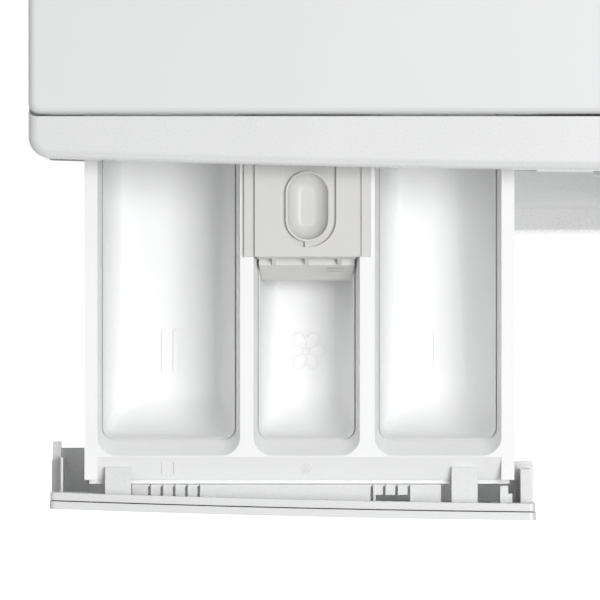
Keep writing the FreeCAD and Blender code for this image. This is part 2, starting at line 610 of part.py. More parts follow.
def selector_knob():
    """Programme selector: fluted knob on its shaft, with a thin skirt."""
    face = fascia_face(KNOB_X)
    y0, y1 = face - KNOB_PROUD, face - CLEARANCE - 0.4
    body = [(0, y0), (KNOB_RADIUS - 3.5, y0, 2), (KNOB_RADIUS - 1.5, y1 - 3.2),
            (KNOB_RADIUS + 2.5, y1 - 2.2, 0.6)]
    body += [(KNOB_RADIUS + 2.5, y1), (0, y1)]
    knob = turned(body, KNOB_X, CONTROL_Z)
    flute = rod_y(2.2, y0 - 1, y1 - 3.4, KNOB_X, CONTROL_Z + KNOB_RADIUS - 0.6)
    mark = box(KNOB_X - 1, KNOB_X + 1, y0 - 1, y0 + 0.8, CONTROL_Z + KNOB_RADIUS - 14,
               CONTROL_Z + KNOB_RADIUS - 5)
    shaft = rod_y(3, y1, BOARD_Y - 5 - CLEARANCE, KNOB_X, CONTROL_Z)
    return join(knob.cut(ring_of(flute, 30, KNOB_X, CONTROL_Z) + [mark]), shaft)


def button(x, z, half_w, half_h):
    """Push button: cap, retaining flange behind the fascia and stem to its switch."""
    face = fascia_face(x)
    back = face + FASCIA_WALL + 1.2
    cap = plate(button_outline(x, z, half_w, half_h), face - BUTTON_PROUD, back)
    cap = cap.makeFillet(0.8, edges_where(cap, lambda p, d: p.y < face - BUTTON_PROUD + 0.01))
    flange = plate(button_outline(x, z, half_w, half_h, 1.5), back, back + 1.2)
    stem = rod_y(2.5, back + 1.2, BOARD_Y - 3.5 - BUTTON_TRAVEL - 0.2, x, z)
    return join(cap, flange, stem)


# ---------------------------------------------------------------- detergent drawer


def drawer_trim():
    """Outer skin of the drawer front, following the fascia's bow."""
    points = rect(DRAWER_X0, DRAWER_X1, DRAWER_Z0, DRAWER_Z1, 2.5)
    return bowed_plate(points, 0, TRIM_THICKNESS, DRAWER_OPEN)


def behind_trim(x0, x1, far, low, high):
    """Block behind the carrier's sheet: x0 to x1, back to far behind the drawer's face, low to high."""
    blank = box(x0, x1, DRAWER_FACE - 8, DRAWER_FACE + far, low, high)
    return blank.common(bow(CARRIER_INSET + 1, DRAWER_OPEN))


def carrier_shelf():
    """Shelf between the carrier and the tray's lip: two groups of slots, one long slot at its foot."""
    back = RIM_START - 11.6
    shelf = behind_trim(SHELF_X0, SHELF_X1, back, SHELF_Z - 2, SHELF_Z)
    slots = []
    for start, count in SLOT_GROUPS:
        for i in range(count):
            x = start + SLOT_PITCH * i
            slots.append(box(x, x + SLOT_WIDTH, DRAWER_FACE - 8, DRAWER_FACE + back - 0.9, SHELF_Z - 3,
                             SHELF_Z + 1))
            ridge = behind_trim(x + SLOT_WIDTH, x + SLOT_WIDTH + 0.6, back, SHELF_Z - 1, SHELF_Z + 1.2)
            shelf = shelf.fuse(ridge)
    start, count = SLOT_GROUPS[-1]
    foot = DRAWER_FACE + CARRIER_INSET + CARRIER_THICKNESS
    slots.append(box(start + 2.2, start + 16.2, foot - 1, foot + 1.6, SHELF_Z - 3, SHELF_Z + 3))
    return shelf.cut(slots)


def drawer_front():
    """Carrier behind the trim: sheet, side cheeks, shelves, hook and the two arms that snap onto the tray."""
    x0, x1 = DRAWER_X0 + 0.3, DRAWER_X1 - 0.3
    sheet_points = rect(x0, x1, DRAWER_Z0 + 0.3, DRAWER_Z1 - 0.4, 2)
    sheet = bowed_plate(sheet_points, CARRIER_INSET, CARRIER_THICKNESS, DRAWER_OPEN)
    arm_top = RIM_Z - 0.6
    parts = [
        behind_trim(x0, x0 + 4, 23, DRAWER_Z0 + 3, DRAWER_Z0 + 46),
        behind_trim(x0 + 0.4, x0 + 4, 31.0, DRAWER_Z0 + 20, DRAWER_Z0 + 52),
        behind_trim(x0 + 4, x0 + 5, 24.4, DRAWER_Z0 + 3, RIM_Z - 12),
        behind_trim(x0, TRAY_X0 + 1, 28.2, DRAWER_Z0 + 12, DRAWER_Z0 + 15),
        behind_trim(x0, x1, 22.5, DRAWER_Z0 + 1, DRAWER_Z0 + 4),
        behind_trim(x1 - 6, x1 - 1.8, 19.5, DRAWER_Z0 + 3, DRAWER_Z0 + 68),
        behind_trim(x1 - 7.5, x1, 21.0, DRAWER_Z0 + 30, DRAWER_Z0 + 33),
        behind_trim(DRAWER_X1 - 15, DRAWER_X1 - 11.6, RIM_START - 12.2, RIM_Z - 20, arm_top),
        behind_trim(DRAWER_X1 - 11.7, DRAWER_X1 - 9.8, RIM_START - 15.5, RIM_Z - 20, RIM_Z - 6),
        carrier_shelf(),
    ]
    for x in ARM_PLACES:
        parts.append(behind_trim(x, x + ARM_WIDTH, RIM_START - 11, arm_top - 2, arm_top))
        parts.append(box(x, x + ARM_WIDTH, RIM_Y - 11.2, RIM_Y - 4.2, arm_top - 2, arm_top))
        parts.append(box(x, x + ARM_WIDTH, RIM_Y - 13.4, RIM_Y - 12.2, arm_top - 10, arm_top - 1))
    return join(sheet, *parts)


def bowl(x0, x1, near, far, floor_depth, grow=0.0, slant=0.0):
    """Hollow of a compartment, or its outside when grown: steep upper walls, a crease, a curved bowl."""
    lip, crease = BOWL_LIP_DEPTH, BOWL_CREASE
    upper_side, upper_near, upper_far = 1.7, 6.6, 1.0
    side, ramp, back = 8.1, 19.1, 6.1
    curve_top = lip + 1.4
    steps = 6

    def corners(in_side, in_near, in_far, radius, lean=0.0):
        xa, xb = x0 + in_side - grow, x1 - in_side + grow
        ya, yb = near + in_near - grow, far - in_far + grow
        return [(xa, ya, radius), (xb - lean * 0.35, ya, radius), (xb - lean, yb, radius), (xa, yb, radius)]

    def ring(depth, *sizes):
        z = RIM_Z - depth - (grow if depth > 0 else 0)
        return outline(corners(*sizes), lambda x, y: V(x, y, z))

    upper = (upper_side, upper_near, upper_far, CREASE_CORNER)
    inner = (upper_side + crease, upper_near + crease, upper_far + crease, CREASE_CORNER - crease)
    top = Part.makeLoft([ring(0, 0, 0, 0, BOWL_CORNER), ring(lip, *upper)], True, True)
    rings = [ring(lip, *inner)]
    for step in range(steps):
        turn = math.radians(90.0 * step / (steps - 1))
        depth = curve_top + (floor_depth - curve_top) * math.sin(turn)
        inwards = 1 - math.cos(turn)
        sizes = (upper_side + 0.9 + side * inwards, upper_near + 0.9 + ramp * inwards,
                 upper_far + 0.9 + back * inwards, CREASE_CORNER - 0.9 + inwards, slant * inwards)
        rings.append(ring(depth, *sizes))
    space = top.fuse(Part.makeLoft(rings, True, False))
    if grow:
        return space
    z0, z1 = RIM_Z - curve_top + 0.1, RIM_Z - lip + 0.1
    groove = slab(corners(*upper), z0, z1).cut(slab(corners(*inner), z0 - 1, z1 + 1))
    return space.fuse(groove)


def compartments(grow=0.0):
    near, far = RIM_Y + RIM_LIP, TRAY_BACK - 3
    return [
        bowl(MAIN_X0, MAIN_X0 + MAIN_WIDTH, near, far, WASH_DEPTH, grow),
        bowl(SOFTENER_X0, SOFTENER_X0 + SOFTENER_WIDTH, near, far, SOFTENER_DEPTH, grow),
        bowl(PREWASH_X0, PREWASH_X0 + PREWASH_WIDTH, near, far, WASH_DEPTH, grow, 12.0),
    ]


def oval(x, y, long, wide, turn, low, high):
    """Upright oval prism, its long half-axis turned by turn degrees."""
    ring = Part.Ellipse(V(0, 0, 0), long, wide).toShape()
    prism = Part.Face(Part.Wire(ring)).extrude(V(0, 0, high - low))
    prism.rotate(V(0, 0, 0), V(0, 0, 1), turn)
    prism.translate(V(x, y, low))
    return prism


def flower(x, y, size, low, high, line):
    """Outline of a flower with six petals, in plan."""
    petals, hearts = [], []
    for turn in range(0, 360, 60):
        cx = x + 0.56 * size * math.cos(math.radians(turn))
        cy = y + 0.56 * size * math.sin(math.radians(turn))
        long, wide = 0.44 * size, 0.32 * size
        petals.append(oval(cx, cy, long, wide, turn, low, high))
        hearts.append(oval(cx, cy, long - line, wide - line, turn, low - 1, high + 1))
    return join(*petals).cut(hearts)


def marks(low, high, y0, y1, bar_half, line):
    """Main wash, prewash and softener marks in plan between y0 and y1: two bars, one bar and a flower."""
    centre = MAIN_X0 + MAIN_WIDTH / 2
    shapes = [
        slab(rect(x - bar_half, x + bar_half, y0, y1, 0.5 * bar_half), low, high)
        for x in (centre - MARK_SPACING, centre + MARK_SPACING, PREWASH_X0 + PREWASH_WIDTH / 2 - 0.6)
    ]
    size = (y1 - y0) / 2
    return shapes, flower(SOFTENER_X0 + SOFTENER_WIDTH / 2, (y0 + y1) / 2, size, low, high, line)


def floor_marks():
    """Raised marks on the compartment floors."""
    height, sunk = 0.5, 0.2
    y0, y1 = RIM_Y + 35.5, RIM_Y + 53.5
    bars, _ = marks(RIM_Z - WASH_DEPTH - sunk, RIM_Z - WASH_DEPTH + height, y0, y1, 1.0, 0.8)
    _, petals = marks(RIM_Z - SOFTENER_DEPTH - sunk, RIM_Z - SOFTENER_DEPTH + height, y0, y1, 1.0, 0.8)
    return bars + [petals]


def band_marks():
    """Small raised marks on the tray's slanted front band: two bars and a flower."""
    low, high = RIM_Z - BAND_DROP, RIM_Z
    bars, petals = marks(low, high, RIM_Y - 7.2, RIM_Y - 2.2, 0.5, 0.5)
    lift = 0.3
    skin = [(RIM_Y, RIM_Z - 1), (RIM_Y, RIM_Z), (RIM_Y, RIM_Z + lift),
            (RIM_Y - BAND_LENGTH, RIM_Z - BAND_DROP + lift)]
    skin += [(RIM_Y - BAND_LENGTH, RIM_Z - BAND_DROP - 1)]
    return [shape.common(rail(skin, TRAY_X0, TRAY_X1)) for shape in bars[:2] + [petals]]


def drawer_tray():
    """Tray: three compartments, a rim over the side runners, a slanted front band and a siphon post."""
    x0, x1, wall = TRAY_X0, TRAY_X1, TRAY_WALL
    side0, side1 = x0 + RUNNER, x1 - RUNNER
    front = RIM_Y - BAND_LENGTH
    lip = front - 1.7
    band_z = RIM_Z - BAND_DROP
    rim = slab([(x0, front), (x1, front), (x1, TRAY_BACK, 3), (x0, TRAY_BACK, 3)], RIM_Z - wall, RIM_Z)
    skirt = slab([(side0, front), (side1, front), (side1, TRAY_BACK, 3), (side0, TRAY_BACK, 3)], TRAY_Z0,
                 RIM_Z - wall)
    inside = rect(side0 + wall, side1 - wall, front - 5, TRAY_BACK - wall, 1.2)
    skirt = skirt.cut(slab(inside, TRAY_Z0 - 1, RIM_Z - wall + 1))
    above_band = [(RIM_Y, RIM_Z + 3), (RIM_Y, RIM_Z), (front, band_z), (front, band_z - 1.2),
                  (front - 20, band_z - 1.2)]
    above_band = rail(above_band + [(front - 20, RIM_Z + 3)], x0 + SIDE_RIM, x1 - SIDE_RIM)
    band = [(RIM_Y, RIM_Z), (RIM_Y, RIM_Z - 4), (front + 1.6, band_z - 3), (lip, band_z - 3),
            (lip, band_z - 1.2)]
    band = rail(band + [(front, band_z - 1.2), (front, band_z)], side0, side1)
    lower = box(side0, side1, front, front + wall, TRAY_Z0, band_z - 1.2)
    floor = slab(rect(side0 + wall, side1 - wall, front + wall, TRAY_BACK - wall, 1), TRAY_Z0, TRAY_Z0 + wall)
    runners = [
        box(xa, xb, RIM_Y + 2, TRAY_BACK - 4, RUNNER_Z, RUNNER_Z + 3)
        for xa, xb in ((x0, side0), (side1, x1))
    ]
    body = rim.fuse([skirt, lower, floor, band] + compartments(wall)).cut(above_band).fuse(runners)
    post = rod_z(4.0, RIM_Z - SOFTENER_DEPTH - 0.5, RIM_Z - 16, SIPHON_X, SIPHON_Y)
    body = body.cut(compartments()).fuse([post] + floor_marks() + band_marks())
    outlets = [
        box(x + 14, x + width - 14, TRAY_BACK - 8, TRAY_BACK + 1, RIM_Z - WASH_DEPTH + 4, RIM_Z - 12)
        for x, width in ((MAIN_X0, MAIN_WIDTH), (PREWASH_X0, PREWASH_WIDTH))
    ]
    drain = rod_z(2.2, TRAY_Z0 - 1, RIM_Z - 10, SIPHON_X, SIPHON_Y)
    return body.cut(outlets + [drain]).removeSplitter()


def insert_front(x0, x1, y0, top):
    """The insert's sloping front: four notches under the plate's edge, a level line and a triangle."""
    low, slope_low = RIM_Z - 21.0, y0 - 10.0
    face = [(y0, top), (y0, top - 3), (slope_low, low), (slope_low + 2, low), (y0 + 2.2, RIM_Z - 11),
            (y0 + 2.2, top)]
    lean = [(x0 + 1, top + 1), (x1 - 1, top + 1), (x1 - 3.7, low - 1), (x0 + 3.7, low - 1)]
    front = rail(face, x0, x1).common(plate(lean, slope_low - 5, y0 + 5))
    drop = (top - 3 - low) / (y0 - slope_low)
    notch_front, notch_back = y0 - 3.6, y0 - 0.8
    notch_z = top - 3 - (y0 - notch_front) * drop
    middle = (x0 + x1) / 2
    bars = [x0 + 0.9, middle - 13.8, middle, middle + 13.8, x1 - 0.9]
    for left, right in zip(bars, bars[1:]):
        front = front.cut(box(left + 0.9, right - 0.9, notch_front - 1, notch_back, notch_z, top - 1.2))

    def raised(shape, lift):
        skin = [(y0, top - 3), (y0 - lift, top - 3), (slope_low - lift, low), (slope_low + 0.5, low)]
        return shape.common(rail(skin, x0, x1))

    mark_x = x1 - 10.3
    line = raised(slab(rect(mark_x - 3.9, mark_x + 3.9, y0 - 5.7, y0 - 5.2, 0.2), low, top), 0.6)
    triangle = [(mark_x - 3.7, y0 - 6.2), (mark_x + 3.7, y0 - 6.2), (mark_x, y0 - 9.4)]
    return join(front, line, raised(slab(triangle, low, top), 0.25))


def siphon_insert():
    """Lift-out softener insert: plate on the dividers, finger dish, notched front and siphon cap."""
    x0, x1 = SOFTENER_X0, SOFTENER_X0 + SOFTENER_WIDTH
    y0 = RIM_Y + INSERT_START
    y1 = y0 + INSERT_LENGTH
    z0, z1 = RIM_Z + 0.2, RIM_Z + 2.6
    gap = 0.5
    middle = (x0 + x1) / 2 + 0.6
    flanges = box(x0 - INSERT_LAP_LEFT, x1 + INSERT_LAP_RIGHT, y0, y1, z0, z1 - 0.5)
    deck = box(x0 + gap, x1 - gap, y0, y1, z0 - 1.0, z1)
    creases = [box(x - 0.5, x + 0.5, y0 - 1, y1 + 1, z0 + 0.8, z1 + 1) for x in (x0 - 0.2, x1 + 0.2)]
    solid = join(flanges, deck, insert_front(x0, x1, y0, z1 - 0.5)).cut(creases)
    dish_y0, dish_y1, dish_half = y0 + 6.3, y0 + 36.1, 9.5
    groove = [(middle - 11.8, y0 + 4.1, 11.7), (middle + 11.8, y0 + 4.1, 11.7), (middle + 11.8, y1 - 4),
              (middle - 11.8, y1 - 4)]
    solid = solid.cut(slab(groove, z1 - 2.0, z1 + 1))
    boss = slab(rect(middle - dish_half, middle + dish_half, dish_y0, dish_y1, dish_half - 0.05), z0 - 6, z1)
    notch = box(middle - 1.4, middle - 0.2, y0 + 3.9, dish_y0 + 1, z0 - 1, z1 - 0.3)
    levels = 8
    rings = []
    for level in range(levels):
        turn = math.radians(80.0 * level / (levels - 1))
        inset = 1.0 + 6.6 * (1 - math.cos(turn))
        z = z1 + 0.01 - 5.8 * math.sin(turn)
        points = rect(middle - dish_half + inset, middle + dish_half - inset, dish_y0 + inset,
                      dish_y1 - inset, dish_half - 0.05 - inset)
        rings.append(outline(points, lambda x, y, z=z: V(x, y, z)))
    solid = join(solid, boss, notch).cut(Part.makeLoft(rings, True, False))
    cap_low = RIM_Z - SOFTENER_DEPTH + 6
    cap = rod_z(7.0, cap_low, z0 - 0.5, SIPHON_X, SIPHON_Y)
    cap = cap.cut(rod_z(5.2, cap_low - 1, RIM_Z - 13, SIPHON_X, SIPHON_Y))
    return join(solid, cap)


HOUSING_X0, HOUSING_X1 = TRAY_X0 - 9.0, TRAY_X1 + 9.0
HOUSING_Z0, HOUSING_Z1 = TRAY_Z0 - 7.0, RIM_Z + 6.0
HOUSING_Y0 = FASCIA_BACK + 2.0
HOUSING_Y1 = TRAY_BACK + DRAWER_OPEN + 27.0
FILL_X, FILL_Y = (HOUSING_X0 + HOUSING_X1) / 2, 190.0
# hose's lower end, on the tub's spigot
FILL_Z = AXIS_Z + math.sqrt(TUB_OUTER ** 2 - (abs(FILL_X) - 20) ** 2) + 1


def dispenser_housing():
    """Box that the drawer slides in, open at front and top, with runner guides and a spigot to the tub."""
    w = HOUSING_WALL
    shell = box(HOUSING_X0, HOUSING_X1, HOUSING_Y0, HOUSING_Y1, HOUSING_Z0, HOUSING_Z1)
    shell = shell.cut(box(HOUSING_X0 + w, HOUSING_X1 - w, HOUSING_Y0 - 1, HOUSING_Y1 - w, HOUSING_Z0 + w,
                          HOUSING_Z1 + 1))
    guides = []
    for wall_x, runner_x in ((HOUSING_X0 + w, TRAY_X0 + RUNNER - 0.6),
                             (HOUSING_X1 - w, TRAY_X1 - RUNNER + 0.6)):
        xa, xb = sorted((wall_x, runner_x))
        for z in (RUNNER_Z - CLEARANCE - 2.5, RUNNER_Z + 3 + CLEARANCE):
            guides.append(box(xa, xb, HOUSING_Y0, HOUSING_Y1 - w, z, z + 2.5))
    spigot = rod_z(14, HOUSING_Z0 - 16, HOUSING_Z0 + 1, FILL_X, FILL_Y)
    return join(shell, *guides, spigot).cut(rod_z(12, HOUSING_Z0 - 17, HOUSING_Z0 + w + 1, FILL_X, FILL_Y))


def dispenser_lid():
    """Water distributor over the drawer: plate with channel walls and an inlet spigot."""
    z0 = HOUSING_Z1 + 0.1
    lid = box(HOUSING_X0, HOUSING_X1, HOUSING_Y0, HOUSING_Y1, z0, z0 + 2)
    walls = [box(x, x + 1.5, HOUSING_Y0 + 20, HOUSING_Y1 - 4, z0 + 2, z0 + 5)
             for x in (HOUSING_X0 + 6, MAIN_X0 + MAIN_WIDTH, PREWASH_X0, HOUSING_X1 - 8)]
    drops = [rod_z(2, z0 - 1, z0 + 3, x, y)
             for x in (MAIN_X0 + 20, MAIN_X0 + 40, PREWASH_X0 + 20, PREWASH_X0 + 40)
             for y in (60, 90, 120, 150)]
    spigot = rod_y(6, HOUSING_Y1 - 2, HOUSING_Y1 + 18, VALVE_X, z0 + 0.5 - 4)
    lug = box(VALVE_X - 8, VALVE_X + 8, HOUSING_Y1 + 0.1, HOUSING_Y1 + 6, z0 - 10, z0 + 2)
    spigot = spigot.cut(box(VALVE_X - 9, VALVE_X + 9, HOUSING_Y1 - 3, HOUSING_Y1 + 0.1, z0 - 12, z0))
    return join(lid, *walls, lug, spigot).cut(drops)


# ---------------------------------------------------------------- door


def door_outer_ring():
    """Outer door frame: a hollow ring, a finger grip at the right, a gap for the hinge arm at the left."""
    r, f = DOOR_RADIUS, -DOOR_PROUD
    inner = GLASS_RADIUS + 4
    ring = [(inner, -13), (inner, f + 9, 3), (inner + 22, f + 2, 6), (r - 23, f, 10), (r, f + 12, 9), (r, -4)]
    ring += [(r - 2.6, -4), (r - 2.6, f + 13.4, 6.5), (r - 24, f + 2.6, 8), (inner + 23, f + 4.6, 4),
             (inner + 2.6, f + 11, 1), (inner + 2.6, -13)]
    grip = plate(rect(r - 30, r + 10, AXIS_Z - 42, AXIS_Z + 42, 12), -30, -7)
    hinge = box(HINGE_X - 10, HINGE_X + 34, -34, -2, AXIS_Z - HINGE_HALF - 4, AXIS_Z + HINGE_HALF + 4)
    hinge = hinge.cut(rod_y(r - 12, -40, 0))
    return turned(ring).cut([grip, hinge])


def door_trim_ring():
    """Bright funnel between the frame and the glass."""
    r, f = GLASS_RADIUS + 3.6, -DOOR_PROUD
    funnel = [(GLASS_RADIUS - 20, f + 21, 0.6), (r, f + 7.6, 1.5), (r, -13), (r - 2, -13),
              (r - 2, f + 10.6), (GLASS_RADIUS - 19, f + 23.4)]
    return turned(funnel)


def door_glass():
    """Deep glass bowl with a flat flange."""
    r, t, d = GLASS_RADIUS, GLASS_THICKNESS, GLASS_DEPTH
    bowl_line = [(0, d), (r - 34, d - 8, 22), (r - 15, d - 40, 25), (r - 6, -13, 4), (r, -13), (r, -13 - t)]
    bowl_line += [(r - 11, -13 - t, 3), (r - 20, d - 42, 22), (r - 37, d - 12.5, 18), (0, d - t)]
    return turned(bowl_line)


def door_inner_ring():
    """Inner door frame that clamps the glass, with a grip pocket, a hinge seat and the hook's pivot."""
    r = DOOR_RADIUS - 2.6 - DRAWER_GAP
    face = -13 + 0.4
    ring = [(GLASS_RADIUS - 3, face), (r, face), (r, -6), (DISH_RADIUS - 17, -6), (DISH_RADIUS - 22, 9, 3),
            (GLASS_RADIUS + 8, 9, 3), (GLASS_RADIUS + 3, -6), (GLASS_RADIUS - 3, -6)]
    pocket = [(GLASS_RADIUS + 9, face - 1), (DISH_RADIUS - 25, face - 1), (DISH_RADIUS - 25, 6.4),
              (GLASS_RADIUS + 10, 6.4)]
    body = turned(ring).cut(turned(pocket))
    grip = plate(rect(r - 28, r - 25.5, AXIS_Z - 40, AXIS_Z + 40, 1), -29, face + 1)
    slot = box(HOOK_X - 8, HOOK_X + 9, -14, -5, AXIS_Z - 7, AXIS_Z + 7)
    pivot = rod_z(HOOK_PIN + PIN_CLEARANCE, AXIS_Z - 15, AXIS_Z + 15, HOOK_X, HOOK_PIVOT_Y)
    hinge = box(HINGE_X - 10, HINGE_X + 20, -20, 2, AXIS_Z - HINGE_HALF - 4, AXIS_Z + HINGE_HALF + 4)
    return join(body, grip).cut([slot, pivot, hinge])


HOOK_PIN = 2.4


def door_hook():
    """Latch hook on its pivot pin."""
    x, y = HOOK_X, HOOK_PIVOT_Y
    shape = [(x - 3, y - 3, 1), (x + 3, y - 3, 1), (x + 3, 8), (x + 8, 11, 1), (x + 3, 20, 1), (x - 3, 20, 1)]
    pin = rod_z(HOOK_PIN, AXIS_Z - 14.5, AXIS_Z + 14.5, x, y)
    return join(slab(shape, AXIS_Z - 5, AXIS_Z + 5), pin)


def door_hinge_arm():
    """Barrel round the hinge pin and the leaf that carries the door."""
    half = HINGE_HALF - 12
    barrel = rod_z(8, AXIS_Z - half, AXIS_Z + half, HINGE_X, HINGE_Y)
    leaf = box(HINGE_X, HINGE_X + 60, HINGE_Y - 2, HINGE_Y + 2, AXIS_Z - half + 4, AXIS_Z + half - 4)
    bosses = [rod_y(6, HINGE_Y + 2, -12.8, HINGE_X + 40, AXIS_Z + dz) for dz in (-30, 0, 30)]
    bore = rod_z(HINGE_PIN_RADIUS + PIN_CLEARANCE, AXIS_Z - half - 1, AXIS_Z + half + 1, HINGE_X, HINGE_Y)
    return join(barrel, leaf, *bosses).cut(bore)


def door_hinge_bracket():
    """Plate on the front panel with two knuckles, and the hinge pin through them."""
    plate_x0 = HINGE_X - 26
    back = box(plate_x0, HINGE_X + 6, -2.2, -0.2, AXIS_Z - HINGE_HALF - 8, AXIS_Z + HINGE_HALF + 8)
    knuckles = []
    for z in (AXIS_Z - HINGE_HALF, AXIS_Z + HINGE_HALF - 11):
        knuckle = [(HINGE_X - 7, -0.2), (HINGE_X - 7, HINGE_Y - 7, 6.9), (HINGE_X + 7, HINGE_Y - 7, 6.9),
                   (HINGE_X + 7, -0.2)]
        knuckles.append(slab(knuckle, z, z + 11))
    pin = rod_z(HINGE_PIN_RADIUS, AXIS_Z - HINGE_HALF - 3, AXIS_Z + HINGE_HALF + 3, HINGE_X, HINGE_Y)
    return join(back, *knuckles, pin)


def door_lock():
    """Lock box behind the front panel, with the hook's entry and the wiring socket."""
    x, y = HOOK_X, SHEET + 0.3
    body = box(x - 9.5, x + 26, y, y + 34, AXIS_Z - 44, AXIS_Z + 44)
    entry = box(x - 7, x + 13, y - 1, y + 26, AXIS_Z - 9, AXIS_Z + 9)
    socket = box(x + 2, x + 20, y + 28, y + 35, AXIS_Z - 36, AXIS_Z - 18)
    return body.cut([entry, socket])


def door_gasket():
    """Rubber bellows between the front panel's mouth and the tub's collar, with a lip for the glass."""
    m, c = MOUTH_RADIUS - 0.6, TUB_COLLAR
    y0, y1 = DISH_DEPTH, TUB_FRONT - 17.4
    low = m - 10.4
    bellows = [(low, y0, 2), (m, y0, 1), (m, y0 + 7.5), (low + 4.5, y0 + 9.5), (low + 4.5, y0 + 13),
               (m + 17, y0 + 21.5, 2)]
    bellows += [(low + 4.5, y0 + 30), (low + 4.5, y1 - 3.1), (c + 4, y1 - 3.1, 1), (c + 4, y1 + 14),
                (c + 0.3, y1 + 14), (c + 0.3, y1)]
    bellows += [(low, y1), (low, y0 + 28.5, 2), (m + 12, y0 + 21.5, 1), (low, y0 + 14.5, 2)]
    lip = [(low + 0.5, y0 + 2), (low + 0.5, y0 + 6.5), (GLASS_RADIUS - 8, y0 + 16, 0.8),
           (GLASS_RADIUS - 10, y0 + 14, 0.8)]
    return join(turned(bellows), turned(lip))


# ---------------------------------------------------------------- tub, drum and drive


def tub_front():
    """Front half of the tub: collar for the gasket, front wall, barrel, parting flange and fill spigot."""
    r, ri, c = TUB_OUTER, TUB_INNER, TUB_COLLAR
    half = [(c - TUB_WALL, TUB_FRONT - 16), (c, TUB_FRONT - 16), (c, TUB_FRONT), (r, TUB_FRONT, 14),
            (r, TUB_PARTING - 6), (r + 9, TUB_PARTING - 6)]
    half += [(r + 9, TUB_PARTING - 0.2), (ri, TUB_PARTING - 0.2), (ri, TUB_FRONT + TUB_WALL, 9),
             (c - TUB_WALL, TUB_FRONT + TUB_WALL)]
    surface = AXIS_Z + math.sqrt(r * r - FILL_X * FILL_X)
    spigot = rod_z(14, surface - 14, FILL_Z + 15, FILL_X, FILL_Y).cut(rod_y(ri, TUB_FRONT, TUB_PARTING))
    return join(turned(half), spigot).cut(rod_z(12, surface - 40, FILL_Z + 16, FILL_X, FILL_Y))


def tub_rear():
    """Rear half of the tub: barrel, ribbed back, bearing hub, sump, lugs for springs, dampers and motor."""
    r, ri, b = TUB_OUTER, TUB_INNER, TUB_BACK
    half = [(ri, TUB_PARTING + 0.2), (r + 9, TUB_PARTING + 0.2), (r + 9, TUB_PARTING + 6),
            (r, TUB_PARTING + 6), (r, b, 12), (45, b)]
    half += [(45, HUB_END), (26.02, HUB_END), (26.02, 431.8), (22, 431.8), (22, 408.3), (31.02, 408.3),
             (31.02, b - 10), (45, b - 10), (60, b - TUB_WALL, 6), (ri, b - TUB_WALL, 7)]
    body = turned(half)
    fin = rail([(b - 1, AXIS_Z + 44), (b + 30, AXIS_Z + 44), (b + 8, AXIS_Z + r - 12),
                (b - 1, AXIS_Z + r - 12)], -2, 2)
    rib_ring = turned([(150, b - 1), (154, b - 1), (154, b + 16), (150, b + 16)])
    sump = box(-50, 50, 244, b, SUMP_Z, SUMP_Z + 40).fuse(rod_z(16, SUMP_Z - 18, SUMP_Z + 1, 0, 300))
    lugs = []
    for sx in (-1, 1):
        x, y = sx * SPRING_X, SPRING_Y
        lugs.append(box(x - 9, x + 9, y - 8, y + 8, SPRING_FOOT_Z - SPRING_LUG - 30, SPRING_FOOT_Z))
        x, y = sx * DAMPER_X, DAMPER_Y
        lugs.append(box(x - 10, x + 10, y - 10, y + 10, DAMPER_HEAD_Z, DAMPER_HEAD_Z + DAMPER_LUG + 32))
    solid = join(body, *ring_of(fin, 12), rib_ring, sump, *lugs)
    inside = rod_y(ri, TUB_PARTING, b - TUB_WALL - 8)
    hollow = box(-46, 46, 248, b - TUB_WALL, SUMP_Z + 4, SUMP_Z + 44)
    heater_hole = box(-30, 30, b - TUB_WALL - 1, b + 1, SUMP_Z + 7, SUMP_Z + 19)
    return solid.cut([inside, hollow, heater_hole, rod_z(13.5, SUMP_Z - 19, SUMP_Z + 5, 0, 300)])


SPRING_FOOT_Z = AXIS_Z + math.sqrt(TUB_OUTER ** 2 - SPRING_X ** 2) + SPRING_LUG
DAMPER_HEAD_Z = AXIS_Z - math.sqrt(TUB_OUTER ** 2 - DAMPER_X ** 2) - DAMPER_LUG


def counterweights():
    """Concrete weights: a block over the tub and two half rings on its front."""
    top = box(-100, 120, 150, 330, AXIS_Z + TUB_OUTER - 30, AXIS_Z + TUB_OUTER + 66)
    top = top.cut(rod_y(TUB_OUTER + 9.5, 100, 400))
    ring = turned([(TUB_COLLAR + 10, TUB_FRONT - 26, 3), (TUB_OUTER - 20, TUB_FRONT - 26, 4),
                   (TUB_OUTER - 20, TUB_FRONT - 0.4, 3), (TUB_COLLAR + 10, TUB_FRONT - 0.4, 3)])
    ring = ring.cut(box(-300, 300, 0, 100, AXIS_Z - 30, AXIS_Z + 30))
    return Part.makeCompound([top] + ring.Solids)


def heater():
    """Looped heating element with its flange and terminals."""
    z, x, b = SUMP_Z + 13, 22.0, TUB_BACK
    tube = tube_along([(-x, b + 12, z), (-x, 262, z), (x, 262, z), (x, b + 12, z)], 16, 3.5)
    flange = box(-36, 36, b + 0.2, b + 4, SUMP_Z + 3, SUMP_Z + 23)
    tabs = [box(sx * x - 3, sx * x + 3, b + 12, b + 20, z - 0.4, z + 0.4) for sx in (-1, 1)]
    return join(tube, flange, *tabs)


